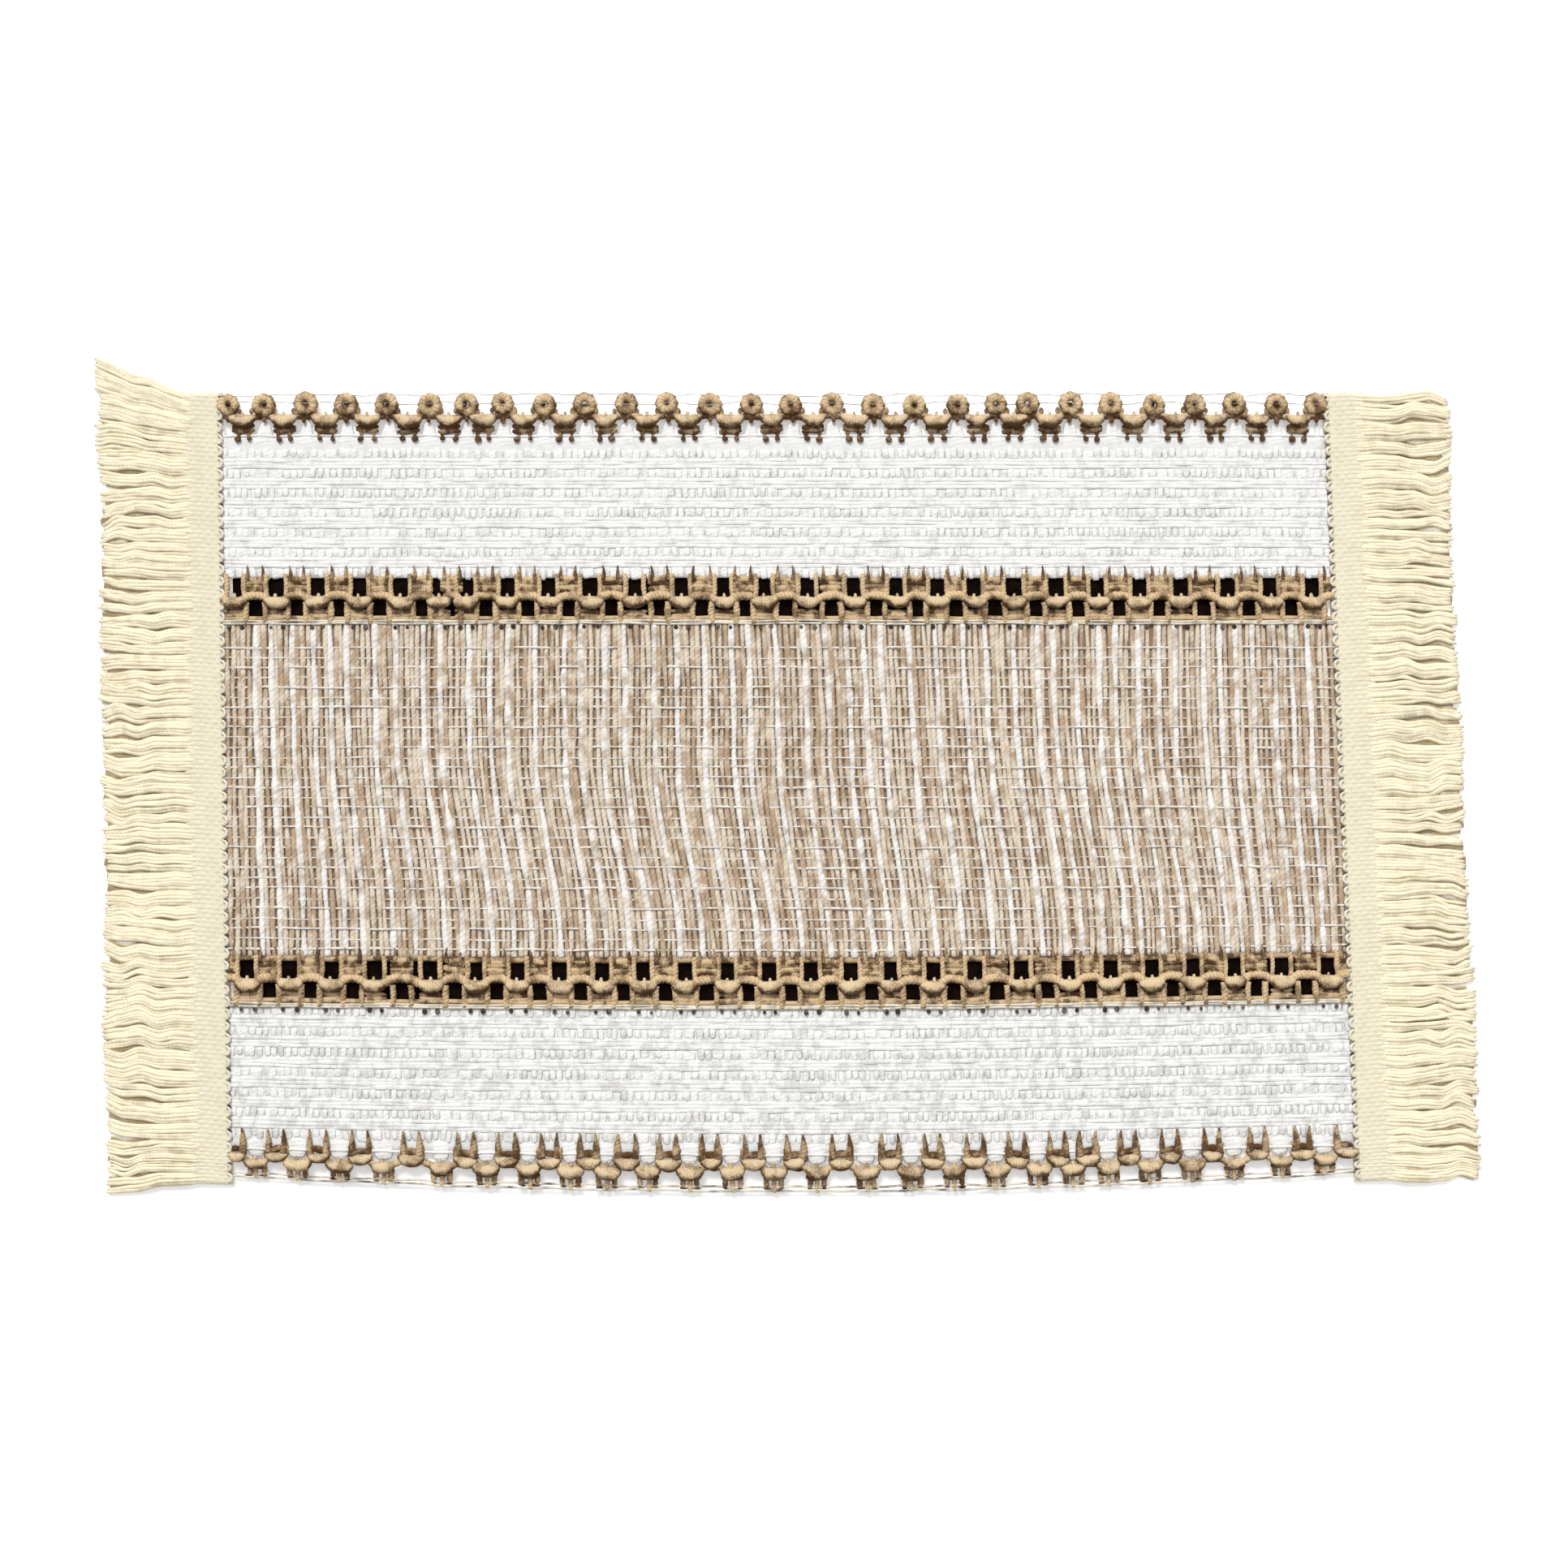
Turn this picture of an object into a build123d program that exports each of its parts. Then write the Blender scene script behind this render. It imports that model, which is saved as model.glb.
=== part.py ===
"""Woven bath mat: slub centre panel, two white bands, openwork rows, lace edges and fringed ends.

Millimetres. +X runs along the mat, +Y to its rear edge, +Z up. The origin is the centre of the footprint,
on the surface that the mat lies on.
"""

import os

from build123d import *

# ---- driving dimensions ----------------------------------------------------------------------------------
repeat = 26.0  # one lace repeat along X
repeats = 27
edge_lace_depth = 34.0
white_band_depth = 82.0
openwork_depth = 30.0
centre_depth = 208.0
clearance = 0.05  # between neighbouring yarns, which touch on the real mat

backing_thickness = 1.2
backing_side_inset = 6.0
backing_corner = 12.0
cloth_thickness = 4.0
cloth_edge_round = 0.8

cord_bend = 2.5
openwork_cord_radius = 2.2
edge_cord_radius = 2.0
knot_radius = 3.8
knot_length = 16.0
small_knot_radius = 3.6
small_knot_length = 14.0
knot_sink = 1.2  # how far a knot's axis lies below its flat side
post_radius = 1.6
stem_radius = 1.1
web_thickness = 2.0
hole_width = 9.0
cord_rise = 2.8  # of the openwork cord, over a lower hole
cord_dip = 3.2  # and under an upper hole
post_gap = 4.4  # from the middle of an openwork row to the near end of its posts

ring_major = 4.8
ring_minor = 2.5
leg_spacing = 7.2  # of the two legs under each rear edge knot
horn_spacing = 9.6
horn_length = 15.6
horn_tip_radius = 0.6
horn_base_radius = 1.8
tooth_base = 12.0
tooth_tip = 5.0
tooth_height = 13.0

tape_width = 24.0
tape_bottom = 0.8
tape_thickness = 3.4
fringe_length = 53.0
hinge_gap = 0.3
tuft_pitch = 7.5
tuft_width = 7.0
tuft_root_thickness = 3.6
tuft_tip_thickness = 2.6

stitch_pitch = 7.5
stitch_length = 7.0
stitch_radius = 0.6
stitch_margin = 4.0  # left clear at each end of a panel
thread_radius = 0.9
fine_thread_radius = 0.5

# ---- places worked out from them --------------------------------------------------------------------------
body_width = repeat * repeats
half_width = body_width / 2
centre_edge = centre_depth / 2
openwork_edge = centre_edge + openwork_depth
openwork_middle = (centre_edge + openwork_edge) / 2
band_edge = openwork_edge + white_band_depth
body_edge = band_edge + edge_lace_depth
cloth_bottom = backing_thickness
cloth_top = cloth_bottom + cloth_thickness
cord_height = cloth_bottom + openwork_cord_radius + clearance
knot_bottom = cord_height + openwork_cord_radius + clearance
post_height = cloth_bottom + post_radius + clearance
post_offset = hole_width / 2 + post_radius  # from a hole's middle to the middle of the post beside it

on_repeat = [repeat * (index - (repeats - 1) / 2) for index in range(repeats)]
between_repeats = [x + repeat / 2 for x in on_repeat[:-1]]

os.makedirs("parts", exist_ok=True)


def save(piece, name):
    """Labels a finished piece and writes its STEP file."""
    piece.part.label = name
    export_step(piece.part, f"parts/{name}.step")


def beside(places, offset):
    """Two places for each one given, offset to its left and right."""
    return [x + side * offset for x in places for side in (-1, 1)]


def wavy_cord(on_y, between_y, radius):
    """A round cord along X, with a flat run at on_y on each repeat and at between_y between them."""
    flat = repeat / 8
    corners = [(-half_width, between_y)]
    for x in on_repeat:
        corners.append((x - repeat / 2 + flat, between_y))
        corners.append((x - flat, on_y))
        corners.append((x + flat, on_y))
        corners.append((x + repeat / 2 - flat, between_y))
    corners.append((half_width, between_y))
    with BuildPart() as cord:
        with BuildLine(Plane.XY.offset(cord_height)) as path:
            FilletPolyline(*corners, radius=cord_bend)
        with BuildSketch(Plane(origin=path.line @ 0, z_dir=(1, 0, 0))):
            Circle(radius)
        sweep()
    return cord


def knots(places, y, length, radius):
    """Puffed wraps of yarn that lie over the cord: caps of an ellipsoid of revolution, flat side down."""
    axis_height = knot_bottom - knot_sink
    with BuildPart() as single:
        with BuildSketch(Plane.XY.offset(axis_height)):
            Ellipse(length / 2, radius)
            Rectangle(length, radius, align=(Align.CENTER, Align.MIN), mode=Mode.INTERSECT)
        revolve(axis=Axis(origin=(0, 0, axis_height), direction=(1, 0, 0)))
        split(bisect_by=Plane.XY.offset(knot_bottom), keep=Keep.TOP)
    with BuildPart() as group:
        with Locations(*[(x, y) for x in places]):
            add(single.part)
    return group


def legs(places, low_y, high_y, radius, height):
    """Straight round legs along Y between two edges."""
    with BuildPart() as group:
        with BuildSketch(Plane.XZ.offset(-low_y)):
            with Locations(*[(x, height) for x in places]):
                Circle(radius)
        extrude(amount=-(high_y - low_y))
    return group


def threads_along(places, radius):
    """Threads across the body's whole width, one at each (y, height)."""
    with BuildPart() as group:
        with BuildSketch(Plane.YZ.offset(-half_width)):
            with Locations(*places):
                Circle(radius)
        extrude(amount=body_width)
    return group


# ---- non-slip backing: one thin sheet that stops short of the lace edges ------------------------------------
with BuildPart() as nonslip_backing:
    with BuildSketch(Plane.XY):
        RectangleRounded(body_width - 2 * backing_side_inset, 2 * band_edge, backing_corner)
    extrude(amount=backing_thickness)
save(nonslip_backing, "nonslip_backing")

# ---- centre panel -----------------------------------------------------------------------------------------
with BuildPart() as centre_panel:
    with BuildSketch(Plane.XY.offset(cloth_bottom)):
        Rectangle(body_width, centre_depth)
    extrude(amount=cloth_thickness)
    fillet(centre_panel.faces().sort_by(Axis.Z)[-1].edges(), cloth_edge_round)
save(centre_panel, "centre_panel")

# ---- white bands: their outer edge runs out in teeth between the lace legs -----------------------------------
for name, side, tooth_places in (
    ("white_band_rear", 1, between_repeats),
    ("white_band_front", -1, on_repeat),
):
    root = side * band_edge
    tip = side * (band_edge + tooth_height)
    with BuildPart() as white_band:
        with BuildSketch(Plane.XY.offset(cloth_bottom)):
            with Locations((0, side * (openwork_edge + band_edge) / 2)):
                Rectangle(body_width, white_band_depth)
            for x in tooth_places:
                with BuildLine():
                    Polyline(
                        (x - tooth_base / 2, root),
                        (x - tooth_tip / 2, tip),
                        (x + tooth_tip / 2, tip),
                        (x + tooth_base / 2, root),
                        close=True,
                    )
                make_face()
        extrude(amount=cloth_thickness)
    save(white_band, name)

# ---- openwork rows: two staggered lines of square holes either side of one wavy cord ---------------------------
web_width = repeat - 2 * (post_offset + post_radius)

for side_name, middle, upper_holes, lower_holes in (
    ("rear", openwork_middle, between_repeats, on_repeat),
    ("front", -openwork_middle, on_repeat, between_repeats),
):
    low = middle - openwork_depth / 2
    high = middle + openwork_depth / 2
    crest = middle + cord_rise
    trough = middle - cord_dip
    crest_on_repeat = lower_holes is on_repeat

    cord_levels = (crest, trough) if crest_on_repeat else (trough, crest)
    cord = wavy_cord(*cord_levels, openwork_cord_radius)
    save(cord, f"openwork_cord_{side_name}")

    knot_row = knots(upper_holes, trough, knot_length, knot_radius)
    save(knot_row, f"openwork_knots_{side_name}")

    upper_legs = legs(beside(upper_holes, post_offset), middle + post_gap, high, post_radius, post_height)
    lower_legs = legs(beside(lower_holes, post_offset), low, middle - post_gap, post_radius, post_height)
    with BuildPart() as posts:
        add(upper_legs.part)
        add(lower_legs.part)
    save(posts, f"openwork_posts_{side_name}")

    with BuildPart() as webs:
        for places, web_low, web_high in (
            (lower_holes, crest + openwork_cord_radius + clearance, high),
            (upper_holes, low, trough - openwork_cord_radius - clearance),
        ):
            with BuildSketch(Plane.XY.offset(cloth_bottom)):
                with Locations(*[(x, (web_low + web_high) / 2) for x in places]):
                    Rectangle(web_width, web_high - web_low)
            extrude(amount=web_thickness)
    save(webs, f"openwork_webs_{side_name}")

    binding_thread = threads_along([(low - 2 * thread_radius, cloth_top + thread_radius)], thread_radius)
    save(binding_thread, f"binding_thread_{side_name}")

# ---- rear edge lace: rings over a cord, with a legged knot between each two rings -------------------------------
rear_knot_y = body_edge - 18.2
rear_cord_at_rings = body_edge - 17.3
ring_y = body_edge - 7.5
ring_height = cloth_bottom + ring_minor + clearance

edge_cord_rear = wavy_cord(rear_knot_y, rear_cord_at_rings, edge_cord_radius)
save(edge_cord_rear, "edge_cord_rear")
edge_knots_rear = knots(on_repeat, rear_knot_y, knot_length, knot_radius)
save(edge_knots_rear, "edge_knots_rear")

with BuildPart() as edge_rings_rear:
    with Locations(*[(x, ring_y, ring_height) for x in between_repeats]):
        Torus(ring_major, ring_minor)
save(edge_rings_rear, "edge_rings_rear")

rear_leg_end = rear_knot_y - edge_cord_radius - clearance
edge_posts_rear = legs(beside(on_repeat, leg_spacing / 2), band_edge, rear_leg_end, post_radius, post_height)
save(edge_posts_rear, "edge_posts_rear")

thread_rise = ring_minor + fine_thread_radius + clearance
edge_threads_rear = threads_along([(ring_y + ring_major, ring_height + thread_rise),
                                   (ring_y + ring_major, ring_height - thread_rise)],
                                  fine_thread_radius)
save(edge_threads_rear, "edge_threads_rear")

# ---- front edge lace: horned knots, lower knots between them, stems and an edge thread ---------------------------
horn_knot_y = -body_edge + 22.0
drop_knot_y = -body_edge + 14.5
horn_base_y = horn_knot_y + small_knot_radius - clearance
front_thread_y = -body_edge + 2.0
front_thread_height = cloth_bottom + stem_radius + clearance

edge_cord_front = wavy_cord(drop_knot_y, horn_knot_y, edge_cord_radius)
save(edge_cord_front, "edge_cord_front")
edge_knots_front = knots(between_repeats, horn_knot_y, small_knot_length, small_knot_radius)
save(edge_knots_front, "edge_knots_front")
edge_drops_front = knots(on_repeat, drop_knot_y, knot_length, knot_radius)
save(edge_drops_front, "edge_drops_front")

with BuildPart() as edge_horns_front:
    horn_middle = horn_base_y + horn_length / 2
    horn_height = cloth_top + horn_base_radius
    with Locations(*[Location((x, horn_middle, horn_height), (-90, 0, 0))
                     for x in beside(between_repeats, horn_spacing / 2)]):
        Cone(horn_base_radius, horn_tip_radius, horn_length)
save(edge_horns_front, "edge_horns_front")

front_leg_end = horn_knot_y + edge_cord_radius + clearance
edge_posts_front = legs(beside(between_repeats, horn_spacing / 2), front_leg_end, -band_edge, post_radius,
                        post_height)
save(edge_posts_front, "edge_posts_front")

stem_end = drop_knot_y - edge_cord_radius - clearance
edge_stems_front = legs(on_repeat, front_thread_y + thread_radius, stem_end, stem_radius,
                        front_thread_height)
save(edge_stems_front, "edge_stems_front")

edge_thread_front = threads_along([(front_thread_y, front_thread_height)], thread_radius)
save(edge_thread_front, "edge_thread_front")

# ---- fringed ends: a heading tape sewn against the body, and the tufts that hinge on its outer edge -------------
tufts = int(2 * body_edge / tuft_pitch)
tape_top = tape_bottom + tape_thickness
stitch_height = cloth_top + stitch_radius + clearance
stitch_rows = (
    (-band_edge, -openwork_edge),
    (-centre_edge, centre_edge),
    (openwork_edge, band_edge),
)

for side_name, side in {"left": -1, "right": 1}.items():
    with BuildPart() as heading_tape:
        with BuildSketch(Plane.XY.offset(tape_bottom)):
            with Locations((side * (half_width + tape_width / 2), 0)):
                Rectangle(tape_width, 2 * body_edge)
        extrude(amount=tape_thickness)
        fillet(heading_tape.faces().sort_by(Axis.Z)[-1].edges(), cloth_edge_round)
    save(heading_tape, f"heading_tape_{side_name}")

    with BuildPart() as seam_stitches:
        with BuildSketch(Plane.YZ.offset(side * half_width - stitch_length / 2)):
            for low, high in stitch_rows:
                count = int((high - low - 2 * stitch_margin) / stitch_pitch) + 1
                with Locations(((low + high) / 2, stitch_height)):
                    with GridLocations(stitch_pitch, 0, count, 1):
                        Circle(stitch_radius)
        extrude(amount=stitch_length)
    save(seam_stitches, f"seam_stitches_{side_name}")

    hinge_x = side * (half_width + tape_width + hinge_gap)
    tip_x = side * (half_width + tape_width + fringe_length)
    with BuildPart() as tuft:
        with BuildSketch(Plane.XZ):
            with BuildLine():
                Polyline(
                    (hinge_x, tape_top - tuft_root_thickness),
                    (tip_x, 0),
                    (tip_x, tuft_tip_thickness),
                    (hinge_x, tape_top),
                    close=True,
                )
            make_face()
        extrude(amount=tuft_width / 2, both=True)
    with BuildPart() as fringe:
        with GridLocations(0, tuft_pitch, 1, tufts):
            add(tuft.part)
    save(fringe, f"fringe_{side_name}")
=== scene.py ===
"""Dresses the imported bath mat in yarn: slub panel, ribbed bands, openwork, lace edges, tapes and fringe.

Shapes are worked out in millimetres on the flat mat, then laid on the floor by FloorLie, which also turns
them into metres. Every yarn is a closed tube around a path, every cloth a closed sheet on a grid.
"""

import logging
import math
from dataclasses import dataclass, field
from enum import Enum

import bpy
import numpy as np
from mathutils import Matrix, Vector


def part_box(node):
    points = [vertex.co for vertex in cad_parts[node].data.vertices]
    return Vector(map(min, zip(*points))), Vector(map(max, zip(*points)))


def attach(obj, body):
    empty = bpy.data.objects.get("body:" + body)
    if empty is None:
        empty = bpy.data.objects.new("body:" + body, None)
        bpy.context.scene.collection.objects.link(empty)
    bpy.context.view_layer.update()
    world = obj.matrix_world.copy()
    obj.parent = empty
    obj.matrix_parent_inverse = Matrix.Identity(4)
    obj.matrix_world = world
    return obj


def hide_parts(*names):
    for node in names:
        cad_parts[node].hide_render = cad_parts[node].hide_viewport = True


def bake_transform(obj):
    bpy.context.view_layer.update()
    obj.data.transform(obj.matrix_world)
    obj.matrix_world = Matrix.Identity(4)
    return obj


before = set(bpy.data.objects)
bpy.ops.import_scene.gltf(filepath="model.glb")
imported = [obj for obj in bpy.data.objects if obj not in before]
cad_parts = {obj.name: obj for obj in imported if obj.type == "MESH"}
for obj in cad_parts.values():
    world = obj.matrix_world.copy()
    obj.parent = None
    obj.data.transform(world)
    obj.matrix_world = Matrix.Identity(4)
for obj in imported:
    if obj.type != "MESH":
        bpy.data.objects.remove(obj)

LOG = logging.getLogger("bath_mat")
MM = 0.001
Colour = tuple[float, float, float]
Array = np.ndarray


# ---- the mat's plan -----------------------------------------------------------------------------------------
class Side(Enum):
    """A side of the mat, whose value is the sign of its axis."""

    @property
    def tag(self) -> str:
        """The word that node and piece names use."""
        return self.name.lower()


class Row(Side):
    """The two openwork rows and lace edges: behind the centre panel, or in front of it."""

    REAR = 1
    FRONT = -1


class End(Side):
    """The two fringed ends of the mat."""

    LEFT = -1
    RIGHT = 1


@dataclass(frozen=True)
class MatPlan:
    """Where the mat's rows and edges lie, in millimetres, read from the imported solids."""

    half_width: float
    centre_edge: float
    openwork_edge: float
    band_edge: float
    body_edge: float
    tape_edge: float
    fringe_edge: float
    cloth_bottom: float
    cloth_top: float
    repeats: int = 27

    @classmethod
    def from_frame(cls) -> "MatPlan":
        """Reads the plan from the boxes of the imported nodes.

        Returns:
            The plan in millimetres.
        """
        nodes = ("centre_panel", "nonslip_backing", "openwork_posts_rear", "heading_tape_right", "fringe_right")
        centre, backing, posts, tape, fringe = (np.array(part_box(node)) / MM for node in nodes)
        return cls(
            half_width=float(centre[1][0]),
            centre_edge=float(centre[1][1]),
            openwork_edge=float(posts[1][1]),
            band_edge=float(backing[1][1]),
            body_edge=float(tape[1][1]),
            tape_edge=float(tape[1][0]),
            fringe_edge=float(fringe[1][0]),
            cloth_bottom=float(centre[0][2]),
            cloth_top=float(centre[1][2]),
        )

    @property
    def repeat(self) -> float:
        """Length of one lace repeat."""
        return 2 * self.half_width / self.repeats


def ease(share: Array) -> Array:
    """Goes smoothly from 0 to 1 as share does, and is held outside that."""
    held = np.clip(share, 0, 1)
    return held * held * (3 - 2 * held)


def full_turn(count: int) -> Array:
    """Angles spaced evenly round a full circle, from 0."""
    return np.linspace(0, 2 * math.pi, count, endpoint=False)


@dataclass(frozen=True)
class FloorLie:
    """How the flat mat lies on the floor: a slight skew, a bowed front edge, drawn-in ends and soft swells."""

    plan: MatPlan
    skew: float = 0.0271
    front_bow: float = 5.0
    right_draw: float = 5.6
    corner_draw: float = 5.0
    swell: float = 0.7

    def draw_in(self, x: Array) -> Array:
        """How far the right end is drawn in at x: from nothing half way along to the whole at the end."""
        return self.right_draw * ease((x - self.plan.half_width / 2) / (self.plan.half_width / 2))

    def lay(self, points: Array) -> Array:
        """Moves flat points to where they lie.

        The front shifts to +X in proportion to -y. In front of the middle, y is pushed forward by the bow
        times (1 - (x / half width) squared) times the share of the way to the front edge to the power 1.4.
        The right end is drawn in over its last half, and the front corners over their last 30. Two long
        crossed waves lift everything by 0 to 2 swells.

        Args:
            points: (n, 3) millimetres.

        Returns:
            (n, 3) metres.
        """
        x, y, z = points.T
        plan = self.plan
        across = np.clip(x / plan.half_width, -1.15, 1.15)
        towards_front = np.clip(-y / plan.body_edge, 0, 1.1)
        bowed = y - self.front_bow * (1 - across**2) * towards_front**1.4
        bowed = bowed + self.corner_draw * np.clip(across**2, 0, 1) * ease((-y - plan.body_edge + 30) / 30)
        bowed = bowed + 0.4 * self.corner_draw * ease(x / plan.half_width) * ease(-y / plan.centre_edge)
        x = x - self.draw_in(x)
        waves = np.sin(x / 61 + y / 93 + 1.0) + np.sin(x / 97 - y / 55 + 4.0)
        lift = self.swell * (1 + waves / 2) * np.clip((plan.tape_edge - abs(x)) / 60, 0, 1)
        return np.column_stack((x - self.skew * y, bowed, z + lift)) * MM


@dataclass(frozen=True)
class RowDrift:
    """How a woven lace row strays from its even repeat: a start, then soft steps of (place, size) along X."""

    lie: FloorLie
    start: float
    steps: tuple[tuple[float, float], ...]
    half_run: float = 22.0

    def follow(self, x: Array) -> Array:
        """Where places on the even repeat end up.

        Each is x, plus the start and the end's draw, plus every step, eased in over the run about its place.

        Args:
            x: places on the even repeat.

        Returns:
            The places on the mat.
        """
        moved = x + self.start + self.lie.draw_in(x)
        for place, size in self.steps:
            moved = moved + size * ease((x - place) / (2 * self.half_run) + 0.5)
        return moved

    def back(self, x: Array) -> Array:
        """The places on the even repeat that end up at x."""
        even = np.linspace(-1.3, 1.3, 1200) * self.lie.plan.half_width
        return np.interp(x, self.follow(even), even)

    def places(self, half_step: float) -> Array:
        """Every place of the row that lies on the body.

        Args:
            half_step: 0.5 for the middles of the repeats, 0 for the places between them.

        Returns:
            The places on the mat, from left to right.
        """
        plan = self.lie.plan
        number = np.arange(-3, plan.repeats + 4)
        moved = self.follow(plan.repeat * (number - plan.repeats / 2 + half_step))
        return moved[np.abs(moved) < plan.half_width + 1]

    @property
    def on_repeat(self) -> Array:
        """The middle of every lace repeat."""
        return self.places(0.5)

    @property
    def between(self) -> Array:
        """The places half way between the repeats."""
        return self.places(0.0)


def soft_noise(rng: np.random.Generator, strands: int, count: int, knots: int) -> Array:
    """Smooth noise along each strand: random values at evenly spaced knots, eased between them.

    Args:
        rng: the source of randomness.
        strands: how many rows.
        count: how many points in a row.
        knots: how many random values a row has.

    Returns:
        (strands, count) values from -1 to 1.
    """
    values = rng.uniform(-1, 1, (strands, knots + 1))
    place = np.linspace(0, knots - 1e-6, count)
    low = place.astype(int)
    share = ease(place - low)
    return values[:, low] * (1 - share) + values[:, low + 1] * share


# ---- meshes -------------------------------------------------------------------------------------------------
@dataclass
class SoftMesh:
    """Gathers closed tubes and sheets, in millimetres, into the arrays of one mesh."""

    points: list[Array] = field(default_factory=list)
    quads: list[Array] = field(default_factory=list)
    caps: list[Array] = field(default_factory=list)
    maps: list[Array] = field(default_factory=list)
    tones: list[Array] = field(default_factory=list)
    total: int = 0
    map_gap: float = 37.7

    def tubes(
        self,
        paths: Array,
        half_width: Array | float,
        half_height: Array | float | None = None,
        tone: Array | float = 0.5,
        sides: int = 8,
        plies: int = 0,
        ply_depth: float = 0.0,
        ply_pitch: float = 10.0,
        closed: bool = False,
    ) -> None:
        """Adds one closed tube around each path.

        A ring's point at angle a is the path's point, plus half_width cos a sideways, plus half_height sin a
        upwards. With plies, both are scaled by 1 + ply_depth cos(plies (a - turn)), where turn grows by a
        full circle every plies times ply_pitch along the path, which gives twisted strands.

        Args:
            paths: (strands, count, 3) points.
            half_width: sideways half size, which broadcasts to (strands, count).
            half_height: upward half size, or None for a round tube.
            tone: yarn tone from 0 to 1, with any painted shade or highlight in it, which broadcasts to (strands,
                count, sides).
            sides: points in a ring.
            plies: twisted strands in the yarn, or 0 for a smooth one.
            ply_depth: depth of the grooves between plies, as a share of the radius.
            ply_pitch: distance along the yarn from one ply to the next.
            closed: whether each path is a loop.
        """
        strands, count, _ = paths.shape
        wide = np.broadcast_to(half_width, (strands, count))[..., None]
        high = wide if half_height is None else np.broadcast_to(half_height, (strands, count))[..., None]
        if closed:
            along = np.roll(paths, -1, axis=1) - np.roll(paths, 1, axis=1)
        else:
            along = np.gradient(paths, axis=1)
        along = along / np.linalg.norm(along, axis=2, keepdims=True)
        sideways = np.cross(along, (0.0, 0.0, 1.0))
        sideways /= np.linalg.norm(sideways, axis=2, keepdims=True) + 1e-9
        upwards = np.cross(sideways, along)
        steps = np.linalg.norm(np.diff(paths, axis=1), axis=2)
        run = np.concatenate((np.zeros((strands, 1)), np.cumsum(steps, axis=1)), axis=1)
        angle = full_turn(sides)
        swelling = 1.0
        if plies:
            turn = 2 * math.pi * run / (ply_pitch * plies)
            if closed:
                turn = 2 * math.pi * np.arange(count) / count * round(run[0, -1] / ply_pitch) / plies
            swelling = 1 + ply_depth * np.cos(plies * (angle - turn[..., None]))
        side_step = (wide * np.cos(angle) * swelling)[..., None] * sideways[:, :, None, :]
        up_step = (high * np.sin(angle) * swelling)[..., None] * upwards[:, :, None, :]
        rings = paths[:, :, None, :] + side_step + up_step
        number = np.arange(strands * count * sides).reshape(strands, count, sides) + self.total
        around = np.roll(number, -1, axis=2)
        spans = count if closed else count - 1
        ahead, ahead_around = np.roll(number, -1, axis=1), np.roll(around, -1, axis=1)
        quads = np.stack((number, ahead, ahead_around, around), axis=-1)[:, :spans]
        self.points.append(rings.reshape(-1, 3))
        self.quads.append(quads.reshape(-1, 4))
        self.tones.append(np.broadcast_to(tone, (strands, count, sides)).reshape(-1))
        length = np.concatenate((run, run[:, -1:] + steps[:, -1:]), axis=1)
        u = (length + self.map_gap * np.arange(strands)[:, None])[:, :, None]
        u_here, u_ahead = u[:, :spans], u[:, 1 : spans + 1]
        v = np.arange(sides + 1) / sides
        corners = ((u_here, v[:-1]), (u_ahead, v[:-1]), (u_ahead, v[1:]), (u_here, v[1:]))
        self.maps.append(np.stack([np.stack(np.broadcast_arrays(*one), -1) for one in corners], axis=3).reshape(-1, 2))
        if not closed:
            self.caps += [number[:, 0, :], number[:, -1, ::-1]]
        self.total += rings.size // 3

    def sheet(self, x: Array, y: Array, top: Array, bottom: Array, tone: Array | float = 0.5) -> None:
        """Adds a closed sheet of cloth on a grid: its top, its underside and a wall round the rim.

        Args:
            x: (rows, columns) places that grow along each row.
            y: (rows, columns) places that grow from row to row.
            top: height of the top at every place.
            bottom: height of the underside at every place.
            tone: cloth tone from 0 to 1, with any painted shade or highlight in it, which broadcasts to (rows,
                columns).
        """
        rows, columns = x.shape
        drop = rows * columns
        number = np.arange(drop).reshape(rows, columns) + self.total

        def cells(grid: Array) -> Array:
            """The four corners of every cell, anticlockwise from above."""
            return np.stack((grid[:-1, :-1], grid[:-1, 1:], grid[1:, 1:], grid[1:, :-1]), -1).reshape(-1, 4)

        rim = np.concatenate((number[0], number[1:, -1], number[-1, -2::-1], number[-2:0:-1, 0]))
        rim_ahead = np.roll(rim, -1)
        walls = np.stack((rim, rim + drop, rim_ahead + drop, rim_ahead), -1)
        quads = np.concatenate((cells(number), cells(number + drop)[:, ::-1], walls))
        everything = np.concatenate([line_paths(x, y, z).reshape(-1, 3) for z in (top, bottom)])
        self.points.append(everything)
        self.quads.append(quads)
        self.maps.append(everything[(quads - self.total).reshape(-1), :2])
        self.tones.append(np.tile(np.broadcast_to(tone, x.shape).reshape(-1), 2))
        self.total += 2 * drop

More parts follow.
